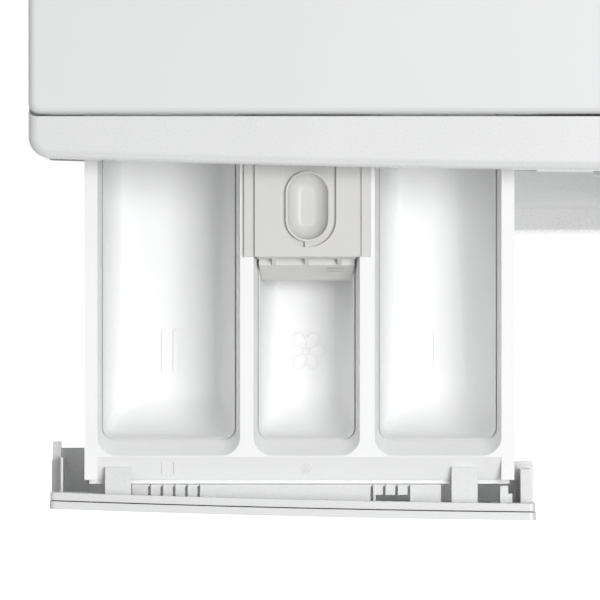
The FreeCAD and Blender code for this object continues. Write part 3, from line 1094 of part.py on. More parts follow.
def tub_bearings():
    """Front and rear ball bearings of the drum shaft, in the tub's hub."""
    solids = []
    for outer, inner, y0, y1 in ((31.0, SHAFT_FRONT_RADIUS, 392.0, 408.0),
                                 (26.0, SHAFT_REAR_RADIUS, 432.0, 447.0)):
        bore, step = inner + PIN_CLEARANCE, (outer - inner) / 3
        middle = (y0 + y1) / 2
        solids.append(turned([(outer - step, y0, 0.4), (outer, y0, 0.8), (outer, y1, 0.8),
                              (outer - step, y1, 0.4)]).cut(turned_groove(outer - step, middle)))
        solids.append(turned([(bore, y0, 0.8), (inner + step, y0, 0.4), (inner + step, y1, 0.4),
                              (bore, y1, 0.8)]).cut(turned_groove(inner + step, middle)))
        ball = Part.makeSphere(step / 2 + 1.2, V((outer + inner) / 2, middle, AXIS_Z))
        solids += ring_of(ball, 9)
    return Part.makeCompound(solids)


def turned_groove(radius, middle):
    """Ball track about a radius: a ring a little larger than the balls."""
    return turned([(radius - 1.5, middle - 4), (radius + 1.5, middle - 4), (radius + 1.5, middle + 4),
                   (radius - 1.5, middle + 4)])


def drum_shell():
    """Stainless drum: rolled front lip, barrel with a stiffening bead and a dished back."""
    r, s = DRUM_RADIUS, DRUM_SHEET
    f, b = DRUM_FRONT, DRUM_BACK
    lip = TUB_COLLAR + 1
    wall = [(lip, f - 3), (lip + 3, f - 3), (lip + 8, f + 2), (r, f + 2, 10), (r, b - 2, 6), (120, b - 2),
            (100, b - 10), (0, b - 10)]
    wall += [(0, b - 10 - s), (101, b - 10 - s), (121, b - 2 - s), (r - s, b - 2 - s, 5),
             (r - s, f + 2 + s, 9), (lip + 7.6, f + 2 + s), (lip + 2.6, f - 2), (lip, f - 2)]
    return turned(wall)


def drum_lifters():
    """Three hollow paddles along the drum wall."""
    r = DRUM_RADIUS - DRUM_SHEET - 0.2
    profile = [(-34, AXIS_Z - r - 5), (-34, AXIS_Z - r + 6, 3), (-11, AXIS_Z - r + 48, 9),
               (11, AXIS_Z - r + 48, 9), (34, AXIS_Z - r + 6, 3), (34, AXIS_Z - r - 5)]
    hollow = [(-31, AXIS_Z - r - 6), (-31, AXIS_Z - r + 6, 2), (-9.6, AXIS_Z - r + 45.4, 7),
              (9.6, AXIS_Z - r + 45.4, 7), (31, AXIS_Z - r + 6, 2), (31, AXIS_Z - r - 6)]
    y0, y1 = DRUM_FRONT + 24, DRUM_BACK - 24
    paddle = plate(profile, y0, y1).cut(plate(hollow, y0 + 3, y1 - 3)).common(rod_y(r, y0 - 1, y1 + 1))
    return Part.makeCompound(ring_of(paddle, 3, start=60))


def drum_spider():
    """Cast three-arm carrier behind the drum's back, with the drum shaft set in it."""
    b, r = DRUM_BACK, DRUM_RADIUS
    arm = plate([(-22, AXIS_Z), (22, AXIS_Z), (11, AXIS_Z + r - 6), (-11, AXIS_Z + r - 6)], b - 0.5, b + 7)
    web = plate([(-4, AXIS_Z), (4, AXIS_Z), (3, AXIS_Z + r - 30), (-3, AXIS_Z + r - 30)], b + 6, b + 16)
    web = web.cut(rod_y(60, b, b + 20))
    hub = turned([(0, b - 8), (40, b - 8, 2), (40, b + 18, 3), (0, b + 18)])
    shaft = [(0, b + 10), (SHAFT_FRONT_RADIUS + 2.5, b + 10), (SHAFT_FRONT_RADIUS + 2.5, 390),
             (SHAFT_FRONT_RADIUS, 390), (SHAFT_FRONT_RADIUS, 428)]
    shaft += [(SHAFT_REAR_RADIUS, 430), (SHAFT_REAR_RADIUS, PULLEY_BACK), (0, PULLEY_BACK)]
    return join(hub, *ring_of(arm, 3), *ring_of(web, 3), turned(shaft))


def drum_pulley():
    """Spoked belt pulley with its centre bolt."""
    y0, y1 = PULLEY_FRONT, PULLEY_BACK
    rim = turned([(PULLEY_RADIUS - 6, y0), (PULLEY_RADIUS + 1.4, y0), (PULLEY_RADIUS, y0 + 1.6),
                  (PULLEY_RADIUS, y1 - 1.6), (PULLEY_RADIUS + 1.4, y1), (PULLEY_RADIUS - 6, y1)])
    hub = turned([(SHAFT_REAR_RADIUS + 0.02, y0), (26, y0), (26, y1), (SHAFT_REAR_RADIUS + 0.02, y1)])
    spoke = plate([(-9, AXIS_Z + 24), (9, AXIS_Z + 24), (6, AXIS_Z + PULLEY_RADIUS - 4),
                   (-6, AXIS_Z + PULLEY_RADIUS - 4)], y0 + 5, y1 - 5)
    bolt = turned([(0, y1 + 0.1), (18, y1 + 0.1), (18, y1 + 2.6), (0, y1 + 2.6)])
    head = plate([(9.8 * math.cos(math.radians(a)), AXIS_Z + 9.8 * math.sin(math.radians(a)))
                  for a in range(0, 360, 60)], y1 + 2.6, y1 + 10)
    return Part.makeCompound([join(rim, hub, *ring_of(spoke, 6)), join(bolt, head)])


def belt_loop(grow):
    """Wire round both pulleys, outside their faces by grow."""
    big, small = PULLEY_RADIUS + grow, MOTOR_PULLEY_RADIUS + grow
    dx, dz = MOTOR_X, MOTOR_Z - AXIS_Z
    aim, spread = math.atan2(dz, dx), math.acos((big - small) / math.hypot(dx, dz))
    y = PULLEY_FRONT + 2

    def at(cx, cz, radius, angle):
        return V(cx + radius * math.cos(angle), y, cz + radius * math.sin(angle))

    low, high = aim - spread, aim + spread
    edges = [
        Part.Arc(at(0, AXIS_Z, big, high), at(0, AXIS_Z, big, aim + math.pi),
                 at(0, AXIS_Z, big, low)).toShape(),
        Part.LineSegment(at(0, AXIS_Z, big, low), at(MOTOR_X, MOTOR_Z, small, low)).toShape(),
        Part.Arc(at(MOTOR_X, MOTOR_Z, small, low), at(MOTOR_X, MOTOR_Z, small, aim),
                 at(MOTOR_X, MOTOR_Z, small, high)).toShape(),
        Part.LineSegment(at(MOTOR_X, MOTOR_Z, small, high), at(0, AXIS_Z, big, high)).toShape(),
    ]
    return Part.Face(Part.Wire(edges))


def drive_belt():
    width = V(0, PULLEY_BACK - PULLEY_FRONT - 4, 0)
    return belt_loop(0.15 + BELT_THICKNESS).extrude(width).cut(belt_loop(0.15).extrude(width))


def motor_housing():
    """Motor casing with end bells, cooling slots and the feet that bolt it under the tub."""
    x, z, r = MOTOR_X, MOTOR_Z, MOTOR_RADIUS
    y0, y1 = MOTOR_FRONT, MOTOR_BACK
    case = turned([(0, y0), (20, y0), (24, y0 + 6), (r, y0 + 10, 5), (r, y1 - 10, 5), (24, y1 - 6),
                   (20, y1), (0, y1)], x, z)
    case = case.cut(turned([(0, y0 + 10), (20, y0 + 10), (r - 4, y0 + 14), (r - 4, y1 - 14), (20, y1 - 10),
                            (0, y1 - 10)], x, z))
    slot = box(x - 2, x + 2, y1 - 34, y1 - 16, z + r - 8, z + r + 4)
    case = case.cut(ring_of(slot, 16, x, z)).cut(rod_y(6.1, y0 - 1, y1 + 1, x, z))
    feet = box(x - 40, x - 22, y0 + 30, y1 - 40, z + 20, z + 90)
    feet = feet.fuse(box(x + 22, x + 40, y0 + 30, y1 - 40, z + 20, z + 100))
    feet = feet.cut([rod_y(TUB_OUTER + 0.3, y0, y1), rod_y(r - 2, y0, y1, x, z)])
    return join(case, *feet.Solids)


def motor_rotor():
    """Rotor on its shaft, with the small belt pulley."""
    x, z = MOTOR_X, MOTOR_Z
    core = rod_y(MOTOR_RADIUS - 8, MOTOR_FRONT + 22, MOTOR_BACK - 22, x, z)
    shaft = rod_y(6, MOTOR_FRONT - 6, PULLEY_BACK + 4, x, z)
    p = MOTOR_PULLEY_RADIUS
    pulley = turned([(5, PULLEY_FRONT), (p + 1.8, PULLEY_FRONT), (p, PULLEY_FRONT + 1.6),
                     (p, PULLEY_BACK - 1.6), (p + 1.8, PULLEY_BACK), (5, PULLEY_BACK)], x, z)
    return join(core, shaft, pulley)


def suspension_springs():
    """Two coil springs that hang the tub from the spring rail."""
    radius, wire, pitch = 14.0, 2.0, 6.5
    low, high = SPRING_FOOT_Z + 14, SHELL_TOP - 48
    turns = int((high - low) / pitch)
    helix = Part.makeHelix(pitch, turns * pitch, radius)
    ring = Part.Wire(Part.makeCircle(wire, V(radius, 0, 0), V(0, 1, 0)))
    coil = helix.makePipeShell([ring], True, True)
    coil.translate(V(0, 0, low))
    end = low + turns * pitch
    tails = [
        rod_x(wire, 0, radius, 0, low),
        rod_x(wire, 0, radius, 0, end),
        rod_z(wire, SPRING_FOOT_Z + 0.3, low + wire, 0, 0),
        rod_z(wire, end - wire, SHELL_TOP - 26, 0, 0),
    ]
    spring = coil.fuse(tails)
    springs = []
    for sx in (-1, 1):
        copy = spring.copy()
        copy.translate(V(sx * SPRING_X, SPRING_Y, 0))
        springs.append(copy)
    return Part.makeCompound(springs)


def damper_cylinders():
    solids = []
    for sx in (-1, 1):
        x, y = sx * DAMPER_X, DAMPER_Y
        case = upright([(0, DAMPER_FOOT_Z + 0.2), (16, DAMPER_FOOT_Z + 0.2, 2), (16, 62, 2), (14, 62),
                        (14, 134, 2), (0, 134)], x, y)
        solids.append(case.cut(rod_z(11, 60, 127, x, y)).cut(rod_z(5.3, 120, 135, x, y)))
    return Part.makeCompound(solids)


def damper_rods():
    solids = []
    for sx in (-1, 1):
        x, y = sx * DAMPER_X, DAMPER_Y
        head = DAMPER_HEAD_Z - 0.2
        rod = [(0, 86), (10.7, 86, 1), (10.7, 100, 1), (5, 100), (5, head - 8), (12, head - 6), (12, head),
               (0, head)]
        solids.append(upright(rod, x, y))
    return Part.makeCompound(solids)


# ---------------------------------------------------------------- water path and rear services

PUMP_FRONT = RETURN_DEPTH + 6.0
HOSE_X, HOSE_Y = 163.0, 85.0
FILTER_RADIUS = 24.0


def drain_pump():
    """Pump: filter tube, volute, hose spigots and motor, on a foot that stands on the base."""
    x, z = PUMP_X, PUMP_Z
    body = rod_y(27, PUMP_FRONT, 60, x, z).fuse([rod_y(30, 60, 106, x, z), rod_y(21, 106, 158, x, z)])
    foot = box(x - 24, x + 24, 62, 104, FLOOR_GAP + 3.2, z - 10)
    inlet = rod_x(16, HOSE_X, x - 20, HOSE_Y, z + 4)
    outlet = rod_z(9, z + 20, z + 52, x + 6, 95)
    hollow = rod_y(FILTER_RADIUS, PUMP_FRONT - 1, 62, x, z).fuse(rod_y(26, 61.5, 98, x, z))
    bores = [hollow, rod_x(13.5, HOSE_X - 1, x - 10, HOSE_Y, z + 4), rod_z(7, z + 15, z + 53, x + 6, 90)]
    return join(body, foot, inlet, outlet).cut(bores)


def filter_cap():
    """Bayonet filter cap with a grip bar and a lint basket."""
    x, z = PUMP_X, PUMP_Z
    y0 = PUMP_FRONT
    r = FILTER_RADIUS - CLEARANCE
    cap = turned([(0, y0 - 4.4), (26, y0 - 4.4, 1), (26, y0 - 0.3), (r, y0 - 0.3), (r, y0 + 14),
                  (0, y0 + 14)], x, z)
    grip = box(x - 21, x + 21, y0 - 8.5, y0 - 4.4, z - 3.5, z + 3.5)
    finger = plate([(x - 2, z), (x + 2, z), (x + 2, z + r - 2), (x - 2, z + r - 2)], y0 + 13, y0 + 38)
    finger = finger.cut(rod_y(12, y0 + 14, y0 + 40, x, z))
    return join(cap, grip, *ring_of(finger, 6, x, z))


def sump_hose():
    """Ribbed rubber hose from the tub's sump to the pump."""
    z = PUMP_Z + 4
    points = [(0, 300, SUMP_Z - 4), (0, 300, z), (0, HOSE_Y, z), (HOSE_X + 14, HOSE_Y, z)]
    return tube_along(points, 30, 18.4, 16.2)


def fill_hose():
    """Corrugated hose from the dispenser to the tub."""
    low = FILL_Z
    high = HOUSING_Z0 - 1
    outer, inner = 17.0, 14.2
    profile = [(inner, low), (outer, low), (outer, low + 14)]
    ridges = int((high - low - 28) / 8)
    for i in range(ridges):
        z = low + 16 + 8 * i
        profile += [(outer + 3, z + 1), (outer + 3, z + 3), (outer, z + 5)]
    profile += [(outer, high), (inner, high)]
    return upright(profile, FILL_X, FILL_Y)


def inlet_valve():
    """Solenoid valve whose threaded nozzle stands out of the rear panel."""
    x, z, y = VALVE_X, VALVE_Z, CABINET_DEPTH
    flange = box(x - 20, x + 20, y - SHEET - 4.2, y - SHEET - 0.2, z - 20, z + 20)
    nozzle = rod_y(13.2, y + 0.4, y + NOZZLE_LENGTH, x, z).fuse(rod_y(13.0, y - SHEET - 4, y + 1, x, z))
    nozzle = nozzle.cut(rod_y(9.5, y - 2, y + NOZZLE_LENGTH + 1, x, z))
    body = rod_y(12, y - 44, y - SHEET - 4, x, z)
    coils = [box(sx * 11 + x - 10, sx * 11 + x + 10, y - 66, y - 40, z - 17, z + 14) for sx in (-1, 1)]
    outlet = tube_along([(x, y - 60, z + 10), (x, y - 60, HOUSING_Z1 - 3.4),
                         (x, HOUSING_Y1 + 18.4, HOUSING_Z1 - 3.4)], 8, 6.0)
    return join(flange, nozzle, body, *coils, outlet)


def drain_outlet():
    """Collar and straight spigot that the drain hose pushes onto, standing out of the rear panel."""
    y = CABINET_DEPTH
    ring = rod_y(12.2, y - 8, y + CLEARANCE, DRAIN_X, DRAIN_Z)
    ring = ring.fuse(rod_y(15, y + CLEARANCE, y + 3, DRAIN_X, DRAIN_Z))
    spigot = rod_y(9.5, y + 3, y + 15.5, DRAIN_X, DRAIN_Z).cut(rod_y(7, y - 9, y + 16, DRAIN_X, DRAIN_Z))
    return join(ring.cut(rod_y(7, y - 9, y + 16, DRAIN_X, DRAIN_Z)), spigot)


def cord_gland():
    """Service plate in the rear panel's upper corner, with the gland where a mains cord enters."""
    y, x, z = CABINET_DEPTH, GLAND_X, GLAND_Z
    inside = plate(rect(x - 11.7, x + 11.7, z - 7.7, z + 7.7, 3.7), y - 9, y + CLEARANCE)
    corner = rect(SERVICE_X + CLEARANCE, HALF - 3, SERVICE_Z, SHELL_TOP - 2, 4)
    outside = plate(rect(x - 15, x + 15, z - 11, z + 11, 5), y + CLEARANCE, y + 5)
    outside = outside.makeFillet(1.5, edges_where(outside, lambda p, d: p.y > y + 4.9))
    return join(inside, plate(corner, y - SHEET, y), outside).cut(rod_y(3.8, y - 10, y + 6, x, z))


# ---------------------------------------------------------------- saving


def pieces():
    """Name of each node, and its shape."""
    made = {
        "side_panel_left": side_panel(),
        "side_panel_right": mirrored(side_panel()),
        "front_panel": front_panel(),
        "kick_plate": kick_plate(),
        "service_flap": service_flap(),
        "rear_panel": rear_panel(),
        "rear_access_cover": rear_access_cover(),
        "rear_fixings": rear_fixings(),
        "base_tray": base_tray(),
        "top_rails": top_rails(),
        "worktop": worktop(),
        "fascia": fascia(),
        "display_window": display_window(),
        "control_board": control_board(),
        "selector_knob": selector_knob(),
        "drawer_trim": drawer_trim(),
        "drawer_front": drawer_front(),
        "drawer_tray": drawer_tray(),
        "siphon_insert": siphon_insert(),
        "dispenser_housing": dispenser_housing(),
        "dispenser_lid": dispenser_lid(),
        "door_outer_ring": door_outer_ring(),
        "door_trim_ring": door_trim_ring(),
        "door_glass": door_glass(),
        "door_inner_ring": door_inner_ring(),
        "door_hook": door_hook(),
        "door_hinge_arm": door_hinge_arm(),
        "door_hinge_bracket": door_hinge_bracket(),
        "door_lock": door_lock(),
        "door_gasket": door_gasket(),
        "tub_front": tub_front(),
        "tub_rear": tub_rear(),
        "counterweights": counterweights(),
        "heater": heater(),
        "tub_bearings": tub_bearings(),
        "drum_shell": drum_shell(),
        "drum_lifters": drum_lifters(),
        "drum_spider": drum_spider(),
        "drum_pulley": drum_pulley(),
        "drive_belt": drive_belt(),
        "motor_housing": motor_housing(),
        "motor_rotor": motor_rotor(),
        "suspension_springs": suspension_springs(),
        "damper_cylinders": damper_cylinders(),
        "damper_rods": damper_rods(),
        "drain_pump": drain_pump(),
        "filter_cap": filter_cap(),
        "sump_hose": sump_hose(),
        "fill_hose": fill_hose(),
        "inlet_valve": inlet_valve(),
        "drain_outlet": drain_outlet(),
        "cord_gland": cord_gland(),
    }
    for name, x, z, half_w, half_h in button_places():
        made[name] = button(x, z, half_w, half_h)
    names = ("foot_front_left", "foot_front_right", "foot_rear_left", "foot_rear_right")
    for name, (x, y) in zip(names, foot_places()):
        made[name] = foot(x, y)
    return made


def main():
    os.makedirs("parts", exist_ok=True)
    for name, shape in pieces().items():
        solids = shape.Solids
        shape = solids[0] if len(solids) == 1 else Part.makeCompound(solids)
        shape.translate(V(0, -ORIGIN_Y, 0))
        shape.exportStep(os.path.join("parts", name + ".step"))


main()
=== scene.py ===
"""Looks of a front load washing machine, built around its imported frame. All lengths are metres."""

import json
import math

import bpy
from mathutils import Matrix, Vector
from mathutils.bvhtree import BVHTree

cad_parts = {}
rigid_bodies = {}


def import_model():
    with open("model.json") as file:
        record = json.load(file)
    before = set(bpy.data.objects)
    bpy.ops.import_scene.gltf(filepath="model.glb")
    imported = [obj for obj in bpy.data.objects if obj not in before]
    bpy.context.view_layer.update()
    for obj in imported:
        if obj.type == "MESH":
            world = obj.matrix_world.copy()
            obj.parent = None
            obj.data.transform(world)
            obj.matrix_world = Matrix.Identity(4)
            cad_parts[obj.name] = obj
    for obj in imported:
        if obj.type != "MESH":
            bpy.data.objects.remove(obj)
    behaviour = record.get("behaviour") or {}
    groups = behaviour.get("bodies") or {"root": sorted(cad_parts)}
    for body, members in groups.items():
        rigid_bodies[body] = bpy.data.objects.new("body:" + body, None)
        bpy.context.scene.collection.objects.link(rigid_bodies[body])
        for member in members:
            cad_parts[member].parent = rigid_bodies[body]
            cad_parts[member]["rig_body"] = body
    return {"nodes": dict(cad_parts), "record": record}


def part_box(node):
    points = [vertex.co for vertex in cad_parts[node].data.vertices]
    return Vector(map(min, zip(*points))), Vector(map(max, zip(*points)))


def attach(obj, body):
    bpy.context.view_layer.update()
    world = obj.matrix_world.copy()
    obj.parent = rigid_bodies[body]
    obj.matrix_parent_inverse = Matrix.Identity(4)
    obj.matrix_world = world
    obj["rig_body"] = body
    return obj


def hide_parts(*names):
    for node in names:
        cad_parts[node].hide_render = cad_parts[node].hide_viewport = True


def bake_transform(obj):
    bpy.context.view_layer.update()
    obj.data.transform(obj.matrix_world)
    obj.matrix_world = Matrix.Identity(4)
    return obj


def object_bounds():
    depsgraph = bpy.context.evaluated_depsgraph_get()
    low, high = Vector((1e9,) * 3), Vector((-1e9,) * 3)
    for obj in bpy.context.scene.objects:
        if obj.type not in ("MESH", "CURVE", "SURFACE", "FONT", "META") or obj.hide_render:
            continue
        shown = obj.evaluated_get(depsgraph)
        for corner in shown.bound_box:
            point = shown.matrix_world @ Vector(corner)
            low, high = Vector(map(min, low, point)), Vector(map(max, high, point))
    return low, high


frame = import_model()
CAD_BOX = [list(corner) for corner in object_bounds()]
NODES = frame["nodes"]
MM = 0.001

# ---------------------------------------------------------------- places taken from the frame

MACHINE_LOW, MACHINE_HIGH = (Vector(corner) for corner in CAD_BOX)
MACHINE_MIDDLE = (MACHINE_LOW + MACHINE_HIGH) / 2
TRIM_LOW, TRIM_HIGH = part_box("drawer_trim")
KNOB_LOW, KNOB_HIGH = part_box("selector_knob")
WINDOW_LOW, WINDOW_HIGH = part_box("display_window")
DRUM_LOW, DRUM_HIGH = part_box("drum_shell")


def middle(node):
    """The middle of a node's box."""
    low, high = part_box(node)
    return (low + high) / 2


# ---------------------------------------------------------------- materials


def node_tools(material):
    """Helpers that add a node to a material and link two sockets."""
    tree = material.node_tree

    def add(kind, links=None, **values):
        node = tree.nodes.new("ShaderNode" + kind)
        for key, value in values.items():
            if key in node.inputs:
                node.inputs[key].default_value = value
            else:
                setattr(node, key, value)
        for key, source in (links or {}).items():
            tree.links.new(source, node.inputs[key])
        return node

    return add, tree.links.new


def new_material(name):
    """A node material, its shader, and the two helpers that extend it."""
    material = bpy.data.materials.new(name)
    material.use_nodes = True
    return material, material.node_tree.nodes["Principled BSDF"], *node_tools(material)


def ramp(add, factor, *stops):
    """A colour ramp over factor; each stop is (position, colour)."""
    node = add("ValToRGB", {"Fac": factor})
    elements = node.color_ramp.elements
    while len(elements) < len(stops):
        elements.new(0.5)
    for element, (position, colour) in zip(elements, stops):
        element.position = position
        element.color = (*colour, 1)
    return node.outputs["Color"]


def scaled(colour, share):
    return tuple(min(1.0, channel * share) for channel in colour)


def finish(name, colour, roughness, metallic=0.0, coat=0.0, patch=0.09, tint=0.02, grain=0.0012,
           relief=0.012 * MM, wander=0.05, stretch=(1, 1, 1), edge=0.0, spangle=0.0, sheen=0.0):
    """A procedural finish.

    patch is the size of the slow colour changes and tint their strength, grain the size of the fine relief,
    wander how far the roughness drifts, stretch draws the grain out along an axis, edge rounds sharp edges to
    the light, and spangle adds crystals or speckles of that size.
    """
    material, shader, add, link = new_material(name)
    place = add("TexCoord").outputs["Object"]
    drawn = add("Mapping", {"Vector": place}, Scale=stretch).outputs["Vector"]
    slow = add("TexNoise", {"Vector": place}, Scale=1 / patch, Detail=3).outputs["Fac"]
    fine = add("TexNoise", {"Vector": drawn}, Scale=1 / grain, Detail=4).outputs["Fac"]
    if spangle:
        cells = add("TexVoronoi", {"Vector": place}, Scale=1 / spangle).outputs["Color"]
        slow = add("Math", {0: cells, 1: slow}, operation="MULTIPLY_ADD").outputs[0]
    link(ramp(add, slow, (0.25, scaled(colour, 1 - tint)), (0.75, scaled(colour, 1 + tint))),
         shader.inputs["Base Color"])
    rough = add("MapRange", {"Value": fine})
    rough.inputs["From Min"].default_value = 0.3
    rough.inputs["From Max"].default_value = 0.7
    rough.inputs["To Min"].default_value = max(0.02, roughness - wander)
    rough.inputs["To Max"].default_value = min(1.0, roughness + wander)
    link(rough.outputs["Result"], shader.inputs["Roughness"])
    bump = add("Bump", {"Height": fine}, Distance=relief, Strength=1.0)
    if edge:
        link(add("Bevel", Radius=edge, samples=4).outputs["Normal"], bump.inputs["Normal"])
    link(bump.outputs["Normal"], shader.inputs["Normal"])
    shader.inputs["Metallic"].default_value = metallic
    shader.inputs["Coat Weight"].default_value = coat
    shader.inputs["Coat Roughness"].default_value = 0.12
    shader.inputs["Sheen Weight"].default_value = sheen
    return material


def glass(name, colour, smear, depth=1.0):
    """Clear or tinted glass with a faint uneven film."""
    material, shader, add, link = new_material(name)
    place = add("TexCoord").outputs["Object"]
    film = add("TexNoise", {"Vector": place}, Scale=9, Detail=5).outputs["Fac"]
    rough = add("MapRange", {"Value": film})
    rough.inputs["To Max"].default_value = smear
    link(rough.outputs["Result"], shader.inputs["Roughness"])
    link(ramp(add, film, (0.3, scaled(colour, 0.985)), (0.7, colour)), shader.inputs["Base Color"])
    shader.inputs["IOR"].default_value = 1.47
    shader.inputs["Transmission Weight"].default_value = depth
    return material


def glow(name, colour, strength):
    """A lit segment whose brightness varies a little in fine cells."""
    material, shader, add, link = new_material(name)
    place = add("TexCoord").outputs["Object"]
    cells = add("TexNoise", {"Vector": place}, Scale=700, Detail=1).outputs["Fac"]
    lit = ramp(add, cells, (0.2, scaled(colour, 0.8)), (0.8, colour))
    link(lit, shader.inputs["Emission Color"])
    link(lit, shader.inputs["Base Color"])
    shader.inputs["Emission Strength"].default_value = strength
    return material


BRUSHED_ROUND = (1, 0.02, 1)
BRUSHED_FLAT = (0.02, 1, 1)
FINISHES = {
    "enamel": finish("enamel", (0.80, 0.805, 0.81), 0.27, coat=0.35, grain=0.006, relief=0.002 * MM,
                     wander=0.008),
    "galvanised": finish("galvanised", (0.46, 0.48, 0.50), 0.40, metallic=0.9, tint=0.16, spangle=0.011),
    "white_moulding": finish("white_moulding", (0.76, 0.763, 0.767), 0.30, coat=0.12, edge=0.35 * MM),
    "tray_moulding": finish("tray_moulding", (0.95, 0.952, 0.955), 0.50, tint=0.008, edge=0.30 * MM),
    "insert_moulding": finish("insert_moulding", (0.685, 0.682, 0.668), 0.38, tint=0.012, edge=0.25 * MM),
    "laminate": finish("laminate", (0.755, 0.76, 0.763), 0.36, grain=0.0009, relief=0.02 * MM, tint=0.012),
    "circuit": finish("circuit", (0.03, 0.22, 0.08), 0.35, coat=0.5, tint=0.25, patch=0.006),
    "knob_moulding": finish("knob_moulding", (0.70, 0.71, 0.72), 0.24, metallic=0.55, edge=0.25 * MM),
    "button_moulding": finish("button_moulding", (0.74, 0.745, 0.75), 0.32, edge=0.2 * MM),
    "bright_trim": finish("bright_trim", (0.80, 0.81, 0.82), 0.09, metallic=1.0, wander=0.03,
                          stretch=BRUSHED_FLAT),
    "grey_moulding": finish("grey_moulding", (0.42, 0.43, 0.44), 0.42, tint=0.05),
    "dark_moulding": finish("dark_moulding", (0.055, 0.057, 0.06), 0.40, tint=0.12, relief=0.02 * MM),
    "gasket_rubber": finish("gasket_rubber", (0.27, 0.275, 0.28), 0.55, tint=0.08, relief=0.03 * MM,
                            sheen=0.25),
    "black_rubber": finish("black_rubber", (0.03, 0.03, 0.032), 0.62, tint=0.15, relief=0.03 * MM, sheen=0.2),
    "stainless": finish("stainless", (0.62, 0.615, 0.605), 0.20, metallic=1.0, stretch=BRUSHED_ROUND,
                        wander=0.08),
    "cast_aluminium": finish("cast_aluminium", (0.55, 0.56, 0.57), 0.48, metallic=0.9, relief=0.08 * MM,
                             tint=0.08),
    "concrete": finish("concrete", (0.36, 0.355, 0.34), 0.9, tint=0.35, patch=0.02, relief=0.3 * MM,
                       spangle=0.004),
    "iron": finish("iron", (0.12, 0.12, 0.125), 0.5, metallic=0.6, tint=0.1, relief=0.05 * MM),
    "zinc_steel": finish("zinc_steel", (0.58, 0.59, 0.56), 0.30, metallic=0.95, tint=0.08, patch=0.015),
    "door_glass": glass("door_glass", (0.94, 0.965, 0.97), 0.05),
    "tinted_window": glass("tinted_window", (0.03, 0.035, 0.04), 0.09, depth=0.35),
    "print_grey": finish("print_grey", (0.16, 0.165, 0.17), 0.5, tint=0.1, patch=0.01),
    "lit_white": glow("lit_white", (0.85, 0.93, 1.0), 2.2),
    "lit_green": glow("lit_green", (0.25, 1.0, 0.45), 1.6),
}


SLOTS = {subpart["node"]: subpart["material_slot"] for subpart in frame["record"]["subparts"]}


def finish_frame():
    """Every carried-over node takes the finish of its slot."""
    for name, slot in SLOTS.items():
        materials = NODES[name].data.materials
        materials.clear()
        materials.append(FINISHES[slot])


# ---------------------------------------------------------------- pieces


def new_piece(name, points, faces, slot, body, finish_name=None):
    """A mesh piece that rides on a body and takes its finish from a slot."""
    mesh = bpy.data.meshes.new(name)
    mesh.from_pydata(points, [], faces)
    mesh.validate()
    mesh.update()
    piece = bpy.data.objects.new(name, mesh)
    bpy.context.scene.collection.objects.link(piece)
    mesh.materials.append(FINISHES[finish_name or slot])
    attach(piece, body)
    return piece


def thicken(piece, thickness, offset=-1.0):
    modifier = piece.modifiers.new("wall", "SOLIDIFY")
    modifier.thickness = thickness
    modifier.offset = offset
    return piece


def smooth(piece, angle=math.radians(40)):
    piece.data.shade_smooth()
    piece.data.set_sharp_from_angle(angle=angle)


# ---------------------------------------------------------------- drum

HOLE_PITCH = 13 * MM
HOLE_RADIUS = 1.9 * MM
HOLE_SIDES = 12
DRUM_SHEET = 0.7 * MM
DRUM_MOUTH_DROP = 63 * MM
FRONT_ROLL = 14 * MM
BACK_ROLL = 10 * MM
BACK_DISH_RADIUS = 125 * MM
BACK_DISH_DEPTH = 8 * MM


def drum_barrel():
    """The drum's perforated barrel: a grid of cells, each with a round hole, staggered row by row."""
    radius = (DRUM_HIGH.x - DRUM_LOW.x) / 2
    axis = middle("drum_shell")
    front, back = DRUM_LOW.y + FRONT_ROLL, DRUM_HIGH.y - BACK_ROLL
    around = round(2 * math.pi * radius / HOLE_PITCH)
    along = round((back - front) / HOLE_PITCH)
    points, faces = [], []

    def add_point(turn, y):
        points.append((axis.x + radius * math.sin(turn), y, axis.z - radius * math.cos(turn)))
        return len(points) - 1

    step, width = 2 * math.pi / around, (back - front) / along
    for row in range(along):
        for cell in range(around):
            turn, y = (cell + 0.5 * (row % 2)) * step, front + (row + 0.5) * width
            rim, hole = [], []
            for side in range(HOLE_SIDES):
                angle = 2 * math.pi * (side + 0.5) / HOLE_SIDES
                across, up = math.cos(angle), math.sin(angle)
                reach = 0.5 / max(abs(across), abs(up))
                rim.append(add_point(turn + across * reach * step, y + up * reach * width))
                hole.append(add_point(turn + across * HOLE_RADIUS / radius, y + up * HOLE_RADIUS))
            for side in range(HOLE_SIDES):
                after = (side + 1) % HOLE_SIDES
                faces.append((rim[side], rim[after], hole[after], hole[side]))
    return points, faces


def turned_sheet(profile, steps=144):
    """A sheet of revolution about the drum's axis; profile holds (radius, y)."""
    axis = middle("drum_shell")
    points, faces = [], []
    for radius, y in profile:
        for step in range(steps):
            turn = 2 * math.pi * step / steps
            points.append((axis.x + radius * math.sin(turn), y, axis.z - radius * math.cos(turn)))
    for ring in range(len(profile) - 1):
        for step in range(steps):
            after = (step + 1) % steps
            low, high = ring * steps, (ring + 1) * steps
            faces.append((low + step, low + after, high + after, high + step))
    return points, faces


